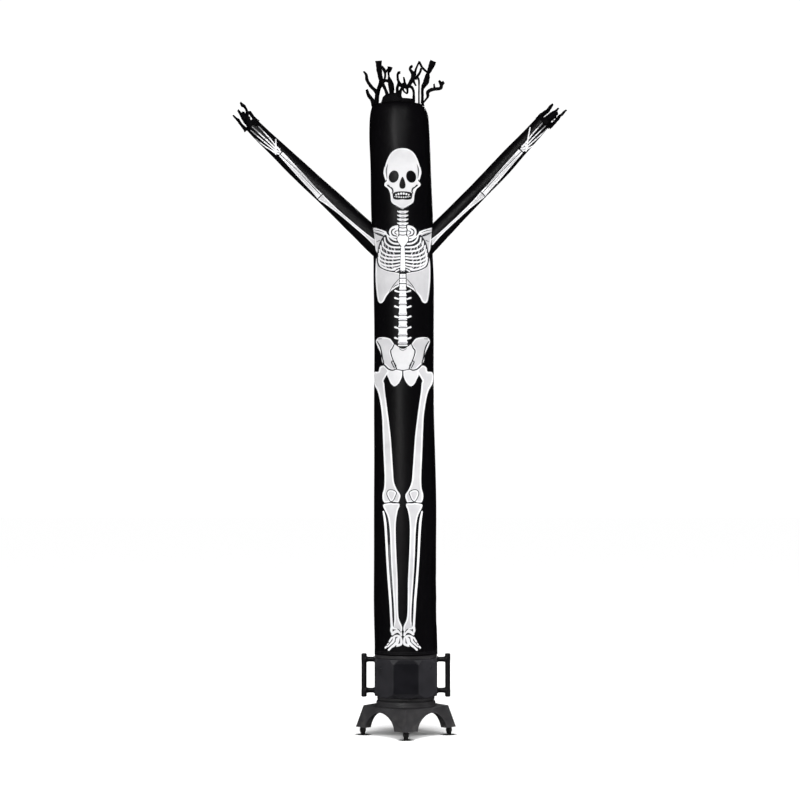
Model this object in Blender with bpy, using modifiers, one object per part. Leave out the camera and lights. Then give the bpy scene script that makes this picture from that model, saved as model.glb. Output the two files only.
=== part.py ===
"""Inflatable air dancer on its blower.

A black cloth tube with two raised arms, cut ribbons for hair and fingers, blown up
by a moulded plastic blower with two handles, a spreading base and four rubber feet.
Metres, +Z up. The origin is on the floor, on the blower's upright axis. The dancer
faces -Y, and left and right are those of someone who looks at it from the front.
"""

from collections import namedtuple
from math import atan2, ceil, cos, exp, pi, radians, sin

import bmesh
import bpy
from mathutils import Matrix, Vector

# ---------------------------------------------------------------- driving sizes

SEAT = 0.0003               # left between two pieces that meet
CLOTH = 0.002               # thickness of the cloth
SEAM = 0.0005               # left between an arm's mouth and the body tube

TUBE_SIDES = 40
TUBE_STEP = 0.165           # widest spacing of the body tube's sections
ARM_SIDES = 22
ARM_STEP = 0.075            # spacing of an arm's sections
ARM_FIRST_STEP = 0.100      # from the middle of an arm's mouth to its first full section
HALVINGS = 40               # of the distance searched for the mouth's edge on the body tube

HEM_FOLD = 0.0016           # how far the folds stand out at the body tube's hem
HEM_FOLDS = 9
HEM_REACH = 0.10            # the height over which they fade
GATHER_FOLD = 0.0034        # the same for the folds where the tube draws in at its top
GATHER_FOLDS = 11
GATHER_REACH = 0.055
SWAY = 0.0012               # how far the body tube is from round in between
ARM_SWAY = 0.0010           # the same for an arm

STRIP_HEIGHT = 0.012        # of the sewn strip that carries the hair or the fingers
RIBBON_STEPS = 8            # sections of a hair ribbon
FINGER_STEPS = 4            # sections of a finger ribbon
ROOT_HEIGHT = 0.045         # a ribbon keeps its root's width to here, and narrows above
TWIST_START = 0.25          # of a ribbon's way, where its twist begins
HOOK_START = 0.70           # the same for the bend of its tip
BARB_PLACE = 0.65           # the same for its torn shred
TIP_SHARE = 0.55            # of its width, left at its tip

FOOT_HEIGHT = 0.0397
FOOT_CIRCLE = 0.218         # from the axis to the middle of a foot
BASE_BOTTOM = FOOT_HEIGHT + SEAT
BASE_TOP = 0.148
BASE_LEG_LOW = 0.254        # from the axis to the ridge of a leg, at its foot
BASE_LEG_HIGH = 0.215       # the same at the base's top
BASE_SIDE_LOW = 0.200       # from the axis to the corner between two legs, at the legs' feet
BASE_SIDE_HIGH = 0.185      # the same at the base's top
ARCH_HALF_WIDTH = 0.1047
ARCH_TOP = 0.1245
ARCH_SINK = 0.008           # the arches' widest place lies this far under the base
ARCH_POWER = 1.8            # 2 is an ellipse, less is more pointed
ARCH_SIDES = 36
HOLLOW_LOW = 0.180          # radius of the hollow between the legs, at their feet
HOLLOW_HIGH = 0.160         # the same at its ceiling
CEILING = 0.120
GUARD_BOTTOM = 0.138
GUARD_TOP = 0.143

WAIST_BOTTOM = BASE_TOP + SEAT
WAIST_TOP = 0.1975
HOUSING_BOTTOM = WAIST_TOP + SEAT
HOUSING_TOP = 0.390
HOUSING_FLAT = 0.158        # from the axis to a flat of the eight-sided housing
HOUSING_CORNER = HOUSING_FLAT / cos(pi / 8)
RIM_BOTTOM = HOUSING_TOP + SEAT
RIM_TOP = 0.408
RIM_RADIUS = 0.158
NECK_TOP = 0.462
NECK_RADIUS = 0.1545
NECK_WALL = 0.006
BORE_RADIUS = 0.125         # the way the air takes up through the blower
ROUND_SIDES = 40

HANDLE_X = 0.212            # from the axis to the middle of a handle's grip
GRIP_DIAMETER = 0.0275
GRIP_BOTTOM = 0.1905
GRIP_TOP = 0.4100
ARM_DIAMETER = 0.025        # of the two short arms that hold the grip
HANDLE_ARM_HEIGHTS = (0.2235, 0.3800)

# ---------------------------------------------------------------- tables

# The body tube, from the hem up: height, middle, and width across.
Section = namedtuple("Section", "z x y width")
BODY = [
    Section(0.4083, 0.000, 0.000, 0.318),
    Section(0.4600, 0.000, 0.000, 0.318),
    Section(0.6370, -0.004, 0.000, 0.316),
    Section(1.1470, -0.004, 0.004, 0.316),
    Section(1.4020, -0.006, 0.006, 0.311),
    Section(1.6570, -0.009, 0.006, 0.306),
    Section(2.0400, -0.009, 0.003, 0.306),
    Section(2.2950, -0.011, 0.000, 0.311),
    Section(2.4220, -0.014, -0.002, 0.306),
    Section(2.6260, -0.019, -0.003, 0.316),
    Section(2.8810, -0.026, -0.003, 0.311),
    Section(3.0340, -0.032, -0.002, 0.311),
    Section(3.1150, -0.034, 0.000, 0.306),
    Section(3.1550, -0.035, 0.000, 0.299),
    Section(3.1820, -0.037, 0.000, 0.286),
    Section(3.2010, -0.039, 0.000, 0.268),
]
BODY_TOP = BODY[-1].z

# The arms, from the body outwards: middle of the arm and its width.
ArmSection = namedtuple("ArmSection", "x y z width")
ARM_LEFT = [
    ArmSection(-0.166, -0.002, 2.516, 0.122),
    ArmSection(-0.238, -0.002, 2.584, 0.115),
    ArmSection(-0.301, -0.002, 2.644, 0.110),
    ArmSection(-0.385, 0.000, 2.724, 0.106),
    ArmSection(-0.471, 0.004, 2.803, 0.100),
    ArmSection(-0.556, 0.006, 2.883, 0.094),
    ArmSection(-0.640, 0.004, 2.963, 0.088),
    ArmSection(-0.725, 0.000, 3.044, 0.083),
    ArmSection(-0.790, -0.003, 3.108, 0.076),
]
ARM_RIGHT = [
    ArmSection(0.139, -0.002, 2.525, 0.108),
    ArmSection(0.217, -0.002, 2.607, 0.102),
    ArmSection(0.256, -0.002, 2.647, 0.099),
    ArmSection(0.335, 0.000, 2.728, 0.099),
    ArmSection(0.413, 0.005, 2.809, 0.098),
    ArmSection(0.491, 0.007, 2.891, 0.097),
    ArmSection(0.568, 0.004, 2.975, 0.092),
    ArmSection(0.645, 0.000, 3.057, 0.085),
    ArmSection(0.705, -0.003, 3.124, 0.079),
]

# The hair, round the tube's mouth from the right, by the back, the left and the front.
# spot: turns round the mouth; out, side and up: where the tip is, out from the mouth,
# sideways along it and above it; root and width: the ribbon's width where it leaves the
# strip and further up; turn: its twist in degrees; hook: how far the tip bends sideways;
# barb: length of the torn shred on its side, to the left of the way round if negative.
Ribbon = namedtuple("Ribbon", "spot out side up root width turn hook barb")
HAIR = [
    Ribbon(0.00, 0.088, 0.000, 0.112, 0.018, 0.020, 75, 0.000, 0.022),
    Ribbon(0.05, 0.022, 0.002, 0.150, 0.018, 0.018, 60, 0.006, 0.000),
    Ribbon(0.10, 0.012, 0.004, 0.118, 0.018, 0.020, -70, 0.000, 0.016),
    Ribbon(0.15, 0.016, 0.000, 0.168, 0.020, 0.022, 95, -0.008, 0.000),
    Ribbon(0.20, 0.010, -0.004, 0.112, 0.036, 0.020, -50, 0.006, -0.014),
    Ribbon(0.25, 0.014, 0.002, 0.146, 0.037, 0.022, 80, 0.000, 0.000),
    Ribbon(0.30, 0.008, 0.004, 0.120, 0.037, 0.020, -90, -0.008, 0.014),
    Ribbon(0.35, 0.014, -0.002, 0.172, 0.036, 0.022, 60, 0.008, 0.000),
    Ribbon(0.40, 0.012, 0.000, 0.134, 0.020, 0.018, -75, 0.000, -0.016),
    Ribbon(0.45, 0.024, 0.000, 0.108, 0.018, 0.018, 90, 0.006, 0.000),
    Ribbon(0.50, 0.041, 0.000, 0.164, 0.020, 0.016, 60, -0.008, -0.014),
    Ribbon(0.55, 0.026, 0.004, 0.074, 0.018, 0.016, -40, 0.000, 0.014),
    Ribbon(0.60, 0.003, 0.000, 0.225, 0.018, 0.026, 126, 0.000, 0.000),
    Ribbon(0.65, 0.004, 0.006, 0.197, 0.036, 0.018, -130, -0.006, 0.016),
    Ribbon(0.70, 0.004, 0.004, 0.196, 0.038, 0.026, 170, 0.000, -0.018),
    Ribbon(0.75, 0.006, 0.000, 0.160, 0.038, 0.016, -60, 0.010, 0.000),
    Ribbon(0.80, 0.004, -0.008, 0.142, 0.038, 0.016, 70, 0.000, -0.014),
    Ribbon(0.85, 0.006, 0.000, 0.203, 0.036, 0.020, -140, 0.010, 0.000),
    Ribbon(0.90, 0.004, 0.000, 0.224, 0.018, 0.018, 120, 0.000, -0.016),
    Ribbon(0.95, 0.044, 0.006, 0.224, 0.018, 0.030, -72, 0.000, 0.000),
]

# The fingers, round an arm's end from its upper side, by the back: as for the hair.
FINGERS_LEFT = [
    Ribbon(0.000, 0.012, 0.000, 0.104, 0.020, 0.018, 20, -0.006, 0.000),
    Ribbon(0.125, 0.024, 0.000, 0.046, 0.022, 0.018, -35, 0.000, 0.000),
    Ribbon(0.250, 0.008, -0.008, 0.068, 0.022, 0.018, 40, 0.000, 0.000),
    Ribbon(0.375, 0.008, 0.004, 0.046, 0.022, 0.018, -20, 0.000, 0.000),
    Ribbon(0.500, -0.010, 0.000, 0.064, 0.020, 0.018, 30, 0.000, 0.000),
    Ribbon(0.625, 0.006, 0.000, 0.048, 0.022, 0.018, 35, 0.000, 0.000),
    Ribbon(0.750, 0.008, 0.006, 0.080, 0.022, 0.018, -30, 0.005, 0.000),
    Ribbon(0.875, 0.012, 0.000, 0.066, 0.022, 0.018, 25, 0.000, 0.000),
]
FINGERS_RIGHT = [
    Ribbon(0.000, -0.006, 0.000, 0.088, 0.020, 0.018, -20, 0.000, 0.000),
    Ribbon(0.125, 0.008, 0.000, 0.062, 0.022, 0.018, 35, 0.000, 0.000),
    Ribbon(0.250, 0.008, 0.006, 0.091, 0.022, 0.018, -40, 0.000, 0.000),
    Ribbon(0.375, 0.006, 0.000, 0.068, 0.022, 0.018, 25, 0.000, 0.000),
    Ribbon(0.500, 0.010, 0.000, 0.122, 0.020, 0.018, -30, 0.005, 0.000),
    Ribbon(0.625, 0.024, 0.000, 0.050, 0.022, 0.018, 20, 0.000, 0.000),
    Ribbon(0.750, 0.006, -0.004, 0.075, 0.022, 0.018, 40, 0.000, 0.000),
    Ribbon(0.875, 0.010, 0.000, 0.058, 0.022, 0.018, -25, 0.000, 0.000),
]

# The turned pieces: radius and height, down the outer side.
WAIST_PROFILE = [
    (0.1380, WAIST_TOP), (0.1435, 0.1950), (0.1455, 0.1895), (0.1455, 0.1825),
    (0.1425, 0.1785), (0.1425, 0.1765), (0.1475, 0.1735), (0.1495, 0.1670),
    (0.1505, 0.1600), (0.1550, 0.1540), (0.1550, WAIST_BOTTOM),
]
RIM_PROFILE = [
    (NECK_RADIUS - NECK_WALL, NECK_TOP), (NECK_RADIUS, NECK_TOP), (NECK_RADIUS, RIM_TOP),
    (RIM_RADIUS - 0.0005, RIM_TOP), (RIM_RADIUS, RIM_TOP - 0.003),
    (RIM_RADIUS, RIM_BOTTOM + 0.003), (RIM_RADIUS - 0.002, RIM_BOTTOM),
    (BORE_RADIUS, RIM_BOTTOM), (BORE_RADIUS, RIM_TOP - 0.004),
    (NECK_RADIUS - NECK_WALL, RIM_TOP + 0.004),
]
FOOT_PROFILE = [
    (0.0, FOOT_HEIGHT), (0.0105, FOOT_HEIGHT), (0.0140, 0.0355), (0.0158, 0.0280),
    (0.0153, 0.0190), (0.0120, 0.0130), (0.0115, 0.0030), (0.0105, 0.0), (0.0, 0.0),
]
# The housing's corners are cut off flat at both ends by another eight-sided shape, whose
# own corners lie in the middle of the housing's flats.
HOUSING_TRIM = [
    (0.0, HOUSING_TOP), (0.1730, HOUSING_TOP), (0.1855, 0.3620), (0.1855, 0.2200),
    (0.1678, HOUSING_BOTTOM), (0.0, HOUSING_BOTTOM),
]

# ---------------------------------------------------------------- scene helpers


def clear_objects():
    for thing in list(bpy.data.objects):
        bpy.data.objects.remove(thing, do_unlink=True)


def new_collection(name):
    collection = bpy.data.collections.new(name)
    bpy.context.scene.collection.children.link(collection)
    return collection


def new_material(name, colour, roughness, metallic=0.0):
    material = bpy.data.materials.new(name)
    material.use_nodes = True
    shader = material.node_tree.nodes["Principled BSDF"]
    shader.inputs["Base Color"].default_value = (*colour, 1.0)
    shader.inputs["Roughness"].default_value = roughness
    shader.inputs["Metallic"].default_value = metallic
    return material


clear_objects()
PARTS = new_collection("air_dancer")
CUTTERS = new_collection("cutters")

CLOTH_BLACK = new_material("cloth_black", (0.010, 0.010, 0.012), 0.62)
PLASTIC_CHARCOAL = new_material("plastic_charcoal", (0.040, 0.041, 0.045), 0.50)
PLASTIC_BLACK = new_material("plastic_black", (0.015, 0.015, 0.017), 0.45)
RUBBER_BLACK = new_material("rubber_black", (0.012, 0.012, 0.012), 0.85)


def add_object(name, mesh, material):
    """A part: its mesh in the parts collection, with its own material."""
    thing = bpy.data.objects.new(name, mesh)
    PARTS.objects.link(thing)
    mesh.materials.append(material)
    return thing


def add_cutter(name, mesh):
    """A guide for a Boolean: kept out of the parts and never rendered."""
    thing = bpy.data.objects.new(name, mesh)
    CUTTERS.objects.link(thing)
    thing.hide_render = True
    thing.display_type = "WIRE"
    return thing


def mesh_from(bm, name):
    bmesh.ops.recalc_face_normals(bm, faces=bm.faces)
    mesh = bpy.data.meshes.new(name)
    bm.to_mesh(mesh)
    bm.free()
    return mesh


def smooth(thing, angle=35):
    thing.data.shade_smooth()
    thing.data.set_sharp_from_angle(angle=radians(angle))


def cylinder_mesh(name, radius_low, radius_high, depth, sides, matrix):
    bm = bmesh.new()
    bmesh.ops.create_cone(bm, cap_ends=True, segments=sides, radius1=radius_low,
                          radius2=radius_high, depth=depth, matrix=matrix)
    return mesh_from(bm, name)


def turned_mesh(name, profile, closed):
    """A half outline at +X: from the top, down the outer side."""
    bm = bmesh.new()
    points = [bm.verts.new((radius, 0.0, height)) for radius, height in profile]
    for first, second in zip(points, points[1:]):
        bm.edges.new((first, second))
    if closed:
        bm.edges.new((points[-1], points[0]))
    mesh = bpy.data.meshes.new(name)
    bm.to_mesh(mesh)
    bm.free()
    return mesh


def add_screw(thing, sides):
    screw = thing.modifiers.new("turn", "SCREW")
    screw.axis = "Z"
    screw.steps = sides
    screw.render_steps = sides
    screw.use_merge_vertices = True
    screw.merge_threshold = 0.00001
    screw.use_smooth_shade = True
    return screw


def add_boolean(thing, other, operation):
    boolean = thing.modifiers.new(operation.lower(), "BOOLEAN")
    boolean.object = other
    boolean.operation = operation
    boolean.solver = "EXACT"
    return boolean


# ---------------------------------------------------------------- rounded cloth shapes


def smooth_rows(rows, position, values):
    """Reads a table at a position along it, on a smooth curve through its rows."""
    last = len(rows) - 1
    index = 0
    while index < last - 1 and position > rows[index + 1][0]:
        index += 1
    start, end = rows[index][0], rows[index + 1][0]
    t = min(max((position - start) / (end - start), 0.0), 1.0)
    result = []
    for column in values:
        before, here = rows[max(index - 1, 0)], rows[index]
        there, after = rows[index + 1], rows[min(index + 2, last)]
        slope_here = (there[column] - before[column]) / max(there[0] - before[0], 1e-9)
        slope_there = (after[column] - here[column]) / max(after[0] - here[0], 1e-9)
        span = end - start
        result.append((2 * t**3 - 3 * t**2 + 1) * here[column]
                      + (t**3 - 2 * t**2 + t) * span * slope_here
                      + (-2 * t**3 + 3 * t**2) * there[column]
                      + (t**3 - t**2) * span * slope_there)
    return result


def body_fold(angle, height):
    """How far the cloth stands in or out of a plain round tube."""
    share = (height - BODY[0].z) / (BODY_TOP - BODY[0].z)
    hem = HEM_FOLD * exp(-(height - BODY[0].z) / HEM_REACH) * (1 + cos(HEM_FOLDS * angle)) / 2
    gather = GATHER_FOLD * exp(-(BODY_TOP - height) / GATHER_REACH) * cos(GATHER_FOLDS * angle)
    sway = SWAY * sin(2 * angle + 2 * pi * share) * sin(pi * share) ** 2
    return hem + gather + sway


def body_surface(angle, height, inset=0.0):
    """The point on the body tube's cloth at an angle and a height."""
    x, y, width = smooth_rows(BODY, height, (1, 2, 3))
    radius = width / 2 + body_fold(angle, height) - inset
    return Vector((x + radius * cos(angle), y + radius * sin(angle), height))


def body_heights():
    """The table's own heights and the ones needed between them."""
    heights = [BODY[0].z]
    for low, high in zip(BODY, BODY[1:]):
        count = ceil((high.z - low.z) / TUBE_STEP)
        heights += [low.z + (high.z - low.z) * k / count for k in range(1, count + 1)]
    return heights


def wrapped_mesh(name, rings):
    """A closed skin over rings that run out along a sleeve and back inside it."""
    bm = bmesh.new()
    rows = [[bm.verts.new(point) for point in ring] for ring in rings]
    for row, after in zip(rows, rows[1:] + rows[:1]):
        for k in range(len(row)):
            j = (k + 1) % len(row)
            bm.faces.new((row[k], row[j], after[j], after[k]))
    return mesh_from(bm, name)


def around(sides):
    return [2 * pi * k / sides for k in range(sides)]


class Sleeve:
    """An arm: a tapering cloth tube from its mouth on the body to its open end."""

    def __init__(self, sections):
        self.rows = []
        distance = 0.0
        place = Vector(sections[0][:3])
        for section in sections:
            distance += (Vector(section[:3]) - place).length
            place = Vector(section[:3])
            self.rows.append((distance, *section))
        self.length = distance

    def middle(self, distance):
        return Vector(smooth_rows(self.rows, distance, (1, 2, 3)))

    def frame(self, distance):
        """Along the arm, towards its upper side, and across it towards the back."""
        near, far = max(distance - 0.01, 0.0), min(distance + 0.01, self.length)
        along = (self.middle(far) - self.middle(near)).normalized()
        across = Vector((0.0, 1.0, 0.0))
        across = (across - along * across.dot(along)).normalized()
        upper = across.cross(along)
        if upper.z < 0:
            upper = -upper
        return along, upper, across

    def point(self, angle, distance, inset=0.0):
        along, upper, across = self.frame(distance)
        radius = smooth_rows(self.rows, distance, (4,))[0] / 2 - inset
        share = distance / self.length
        radius += ARM_SWAY * sin(2 * angle + 4 * pi * share) * sin(pi * share)
        return self.middle(distance) + (upper * cos(angle) + across * sin(angle)) * radius

    def mouth_point(self, angle, inset):
        """Where the sleeve, run straight back, meets the body tube."""
        along = self.frame(0.0)[0]
        start = self.point(angle, 0.0, inset)
        low, high = -BODY[0].width / 2, BODY[0].width / 2
        for _ in range(HALVINGS):
            middle = (low + high) / 2
            point = start + along * middle
            x, y = smooth_rows(BODY, point.z, (1, 2))
            turn = atan2(point.y - y, point.x - x)
            surface = body_surface(turn, point.z, -SEAM)
            outside = Vector((point.x - x, point.y - y)).length > Vector(
                (surface.x - x, surface.y - y)).length
            if outside:
                high = middle
            else:
                low = middle
        return start + along * high

    def rings(self, inset, outer):
        """Of the sleeve's inner length, from its mouth on, or of its outer length."""
        count = round((self.length - ARM_FIRST_STEP) / ARM_STEP)
        step = (self.length - ARM_FIRST_STEP) / count
        stations = [ARM_FIRST_STEP + step * k for k in range(count + 1)]
        half = count // 2
        if outer:
            stations = [stations[half] + SEAT] + stations[half + 1:]
        else:
            stations = stations[:half + 1]
        rings = [[self.point(angle, station, inset) for angle in around(ARM_SIDES)]
                 for station in stations]
        if not outer:
            rings.insert(0, [self.mouth_point(angle, inset) for angle in around(ARM_SIDES)])
        return rings


# ---------------------------------------------------------------- ribbons


def ribbon_path(root, up, out, side, ribbon, t):
    """From its root straight up, then over to its tip, which may bend over sideways."""
    lift = up * ribbon.up
    tip = root + lift + out * ribbon.out + side * ribbon.side
    first = root + lift * 0.38
    second = tip - lift * 0.32 - out * (ribbon.out * 0.25)
    point = (root * (1 - t) ** 3 + first * (3 * t * (1 - t) ** 2)
             + second * (3 * t**2 * (1 - t)) + tip * t**3)
    return point + side * (ribbon.hook * max(t - HOOK_START, 0.0) / (1 - HOOK_START))


def ribbon_section(root, up, out, side, ribbon, t):
    """The four corners of a ribbon's cut at t, which is 0 at its root and 1 at its tip.

    They go along the outer face, and back along the inner one.
    """
    here = ribbon_path(root, up, out, side, ribbon, t)
    ahead = ribbon_path(root, up, out, side, ribbon, min(t + 0.02, 1.0))
    behind = ribbon_path(root, up, out, side, ribbon, max(t - 0.02, 0.0))
    along = (ahead - behind).normalized()
    wide = (side - along * side.dot(along)).normalized()
    narrowed = min(max((t * ribbon.up - ROOT_HEIGHT) / ROOT_HEIGHT, 0.0), 1.0)
    twist = radians(ribbon.turn) * max(t - TWIST_START, 0.0) / (1 - TWIST_START)
    outer = along.cross(wide) * (1 if along.cross(wide).dot(out) > 0 else -1)
    spin = Matrix.Rotation(twist, 3, along)
    width = ribbon.root + (ribbon.width - ribbon.root) * narrowed
    across = spin @ wide * (width / 2 * (TIP_SHARE if t == 1.0 else 1.0))
    through = spin @ outer * (CLOTH / 2)
    return [here - across + through, here + across + through,
            here + across - through, here - across - through]


def add_barb(bm, corners, after, first, length, up):
    """A torn shred in place of one narrow side of a ribbon's step."""
    second = (first + 1) % 4
    face = [corners[first], corners[second], after[second], after[first]]
    middle = sum((corner.co for corner in face), Vector()) / 4
    opposite = (corners[(first + 2) % 4].co + corners[(first + 3) % 4].co) / 2
    outwards = (middle - opposite)
    outwards = (outwards - up * outwards.dot(up)).normalized()
    tip = middle + outwards * length + up * (length * 0.8)
    end = [bm.verts.new(tip + (corner.co - middle) * 0.35) for corner in face]
    for a in range(4):
        b = (a + 1) % 4
        bm.faces.new((face[a], face[b], end[b], end[a]))
    bm.faces.new(end)


def grow_ribbon(bm, corners, up, ribbon, steps):
    """A ribbon on the four corners of its root."""
    root = sum((corner.co for corner in corners), Vector()) / 4
    side = (corners[1].co - corners[0].co).normalized()
    out = (corners[0].co - corners[3].co + corners[1].co - corners[2].co).normalized()
    for step in range(1, steps + 1):
        cut = ribbon_section(root, up, out, side, ribbon, step / steps)
        after = [bm.verts.new(point) for point in cut]
        barbed = -1
        if ribbon.barb and step == round(BARB_PLACE * steps):
            barbed = 1 if ribbon.barb > 0 else 3
            add_barb(bm, corners, after, barbed, abs(ribbon.barb), up)
        bm.faces.new((corners[0], corners[1], after[1]))
        bm.faces.new((corners[0], after[1], after[0]))
        bm.faces.new((corners[3], after[2], corners[2]))
        bm.faces.new((corners[3], after[3], after[2]))
        for first, second in ((1, 2), (3, 0)):
            if first != barbed:
                bm.faces.new((corners[first], corners[second], after[second], after[first]))
        corners = after
    bm.faces.new(corners)


def fringe_mesh(name, ribbons, steps, edge_point, up):
    """A sewn strip that follows an edge of cloth, and the ribbons that stand on it.

    edge_point(angle, inset, rise) is a point of the strip, and up is the way it stands.
    """
    bm = bmesh.new()
    radius = (edge_point(0.0, 0.0, 0.0) - edge_point(pi, 0.0, 0.0)).length / 2
    angles = []
    for ribbon in ribbons:
        reach = ribbon.root / 2 / radius
        angles += [2 * pi * ribbon.spot - reach, 2 * pi * ribbon.spot + reach]
    low, high = [[[bm.verts.new(edge_point(angle, inset, rise)) for inset in (0.0, CLOTH)]
                  for angle in angles] for rise in (0.0, STRIP_HEIGHT)]
    for k in range(len(angles)):
        j = (k + 1) % len(angles)
        bm.faces.new((low[k][0], low[j][0], high[j][0], high[k][0]))
        bm.faces.new((low[j][1], low[k][1], high[k][1], high[j][1]))
        bm.faces.new((low[k][0], low[k][1], low[j][1], low[j][0]))
        if k % 2 == 1:
            bm.faces.new((high[k][0], high[j][0], high[j][1], high[k][1]))
        else:
            corners = [high[k][0], high[j][0], high[j][1], high[k][1]]
            grow_ribbon(bm, corners, up, ribbons[k // 2], steps)
    return mesh_from(bm, name)


# ---------------------------------------------------------------- the dancer

ARMS = {"left": (Sleeve(ARM_LEFT), FINGERS_LEFT), "right": (Sleeve(ARM_RIGHT), FINGERS_RIGHT)}


def make_body_tube():
    heights = body_heights()
    outer = [[body_surface(angle, height) for angle in around(TUBE_SIDES)] for height in heights]
    inner = [[body_surface(angle, height, CLOTH) for angle in around(TUBE_SIDES)]
             for height in reversed(heights)]
    tube = add_object("body_tube", wrapped_mesh("body_tube", outer + inner), CLOTH_BLACK)
    smooth(tube)
    for side, (sleeve, _) in ARMS.items():
        along, upper, across = sleeve.frame(0.0)
        turn = Matrix((upper, across, along)).transposed().to_4x4()
        place = Matrix.Translation(sleeve.middle(0.0)) @ turn
        radius = sleeve.rows[0][4] / 2 - CLOTH - 0.001
        hole = add_cutter(f"armhole_{side}_cutter",
                          cylinder_mesh("armhole", radius, radius, 0.24, ARM_SIDES, place))
        add_boolean(tube, hole, "DIFFERENCE")


def make_arm(side):
    """One sleeve, in two lengths, so that each bends little round the air inside it."""
    sleeve = ARMS[side][0]
    for name, outer in ((f"arm_{side}", False), (f"arm_{side}_outer", True)):
        rings = sleeve.rings(0.0, outer) + list(reversed(sleeve.rings(CLOTH, outer)))
        smooth(add_object(name, wrapped_mesh(name, rings), CLOTH_BLACK))


def make_hair():
    def edge_point(angle, inset, rise):
        point = body_surface(angle, BODY_TOP, inset)
        return point + Vector((0.0, 0.0, SEAT + rise))

    mesh = fringe_mesh("hair_ribbons", HAIR, RIBBON_STEPS, edge_point, Vector((0.0, 0.0, 1.0)))
    smooth(add_object("hair_ribbons", mesh, CLOTH_BLACK))


def make_fingers(side):
    sleeve, ribbons = ARMS[side]
    along = sleeve.frame(sleeve.length)[0]

    def edge_point(angle, inset, rise):
        return sleeve.point(angle, sleeve.length, inset) + along * (SEAT + rise)

    mesh = fringe_mesh(f"finger_ribbons_{side}", ribbons, FINGER_STEPS, edge_point, along)
    smooth(add_object(f"finger_ribbons_{side}", mesh, CLOTH_BLACK))


# ---------------------------------------------------------------- the blower


def make_turned(name, profile, material, closed, sides=ROUND_SIDES, place=(0.0, 0.0, 0.0)):
    piece = add_object(name, turned_mesh(name, profile, closed), material)
    piece.location = place
    add_screw(piece, sides)
    return piece


def make_rim():
    make_turned("outlet_rim", RIM_PROFILE, PLASTIC_CHARCOAL, True)


def make_waist():
    profile = WAIST_PROFILE + [(BORE_RADIUS, WAIST_BOTTOM), (BORE_RADIUS, WAIST_TOP)]
    make_turned("waist_ring", profile, PLASTIC_CHARCOAL, True)


def make_housing():
    """Eight flats, with their corners cut off at both ends, and a round bore."""
    height = HOUSING_TOP - HOUSING_BOTTOM
    middle = (HOUSING_TOP + HOUSING_BOTTOM) / 2
    place = Matrix.Translation((0.0, 0.0, middle)) @ Matrix.Rotation(pi / 8, 4, "Z")
    mesh = cylinder_mesh("blower_housing", HOUSING_CORNER, HOUSING_CORNER, height + 0.02, 8, place)
    housing = add_object("blower_housing", mesh, PLASTIC_CHARCOAL)
    trim = add_cutter("housing_trim", turned_mesh("housing_trim", HOUSING_TRIM, False))
    add_screw(trim, 8)
    bore = add_cutter("bore_cutter", cylinder_mesh("bore", BORE_RADIUS, BORE_RADIUS, height + 0.1,
                                                   ROUND_SIDES, Matrix.Translation((0, 0, middle))))
    add_boolean(housing, trim, "INTERSECT")
    add_boolean(housing, bore, "DIFFERENCE")


def base_block():
    """Eight corners, those of the legs farther out than those between them."""
    bm = bmesh.new()
    low, high = [[bm.verts.new((reach[k % 2] * cos(pi * k / 4), reach[k % 2] * sin(pi * k / 4),
                                height)) for k in range(8)]
                 for height, reach in ((BASE_BOTTOM, (BASE_LEG_LOW, BASE_SIDE_LOW)),
                                       (BASE_TOP, (BASE_LEG_HIGH, BASE_SIDE_HIGH)))]
    for k in range(8):
        leg, side = (k, (k + 1) % 8) if k % 2 == 0 else ((k + 1) % 8, k)
        bm.faces.new((low[leg], low[side], high[side]))
        bm.faces.new((low[leg], high[side], high[leg]))
    bm.faces.new(low)
    bm.faces.new(high)
    return mesh_from(bm, "base_skirt")


def arch_mesh(name, turn):
    """A long block with an arched top, along the way from one side of the base to another."""
    low = BASE_BOTTOM - ARCH_SINK
    bm = bmesh.new()
    ends = []
    for reach in (-0.3, 0.3):
        ring = []
        for angle in around(ARCH_SIDES):
            across = abs(cos(angle)) ** (2 / ARCH_POWER) * (1 if cos(angle) > 0 else -1)
            rise = abs(sin(angle)) ** (2 / ARCH_POWER) * (1 if sin(angle) > 0 else -1)
            ring.append(bm.verts.new((across * ARCH_HALF_WIDTH, reach, low + rise * (ARCH_TOP - low))))
        ends.append(ring)
    for k in range(ARCH_SIDES):
        j = (k + 1) % ARCH_SIDES
        bm.faces.new((ends[0][k], ends[0][j], ends[1][j], ends[1][k]))
    for ring in ends:
        bm.faces.new(ring)
    bm.transform(Matrix.Rotation(radians(turn), 4, "Z"))
    return mesh_from(bm, name)


def make_base():
    """A spreading skirt on four legs: hollow between them, with two crossing arched ways."""
    base = add_object("base_skirt", base_block(), PLASTIC_CHARCOAL)
    hole = cylinder_mesh("base_hole", BORE_RADIUS, BORE_RADIUS, 2 * (BASE_TOP - CEILING) + 0.01,
                         ROUND_SIDES, Matrix.Translation((0, 0, BASE_TOP)))
    add_boolean(base, add_cutter("base_hole_cutter", hole), "DIFFERENCE")
    spread = (HOLLOW_LOW - HOLLOW_HIGH) / (CEILING - BASE_BOTTOM)
    depth = CEILING - BASE_BOTTOM + 0.01
    hollow = cylinder_mesh("hollow", HOLLOW_HIGH + spread * depth, HOLLOW_HIGH, depth, ROUND_SIDES,
                           Matrix.Translation((0, 0, CEILING - depth / 2)))
    add_boolean(base, add_cutter("hollow_cutter", hollow), "DIFFERENCE")
    for turn, name in ((45, "arch_a"), (135, "arch_b")):
        add_boolean(base, add_cutter(f"{name}_cutter", arch_mesh(name, turn)), "DIFFERENCE")


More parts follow.
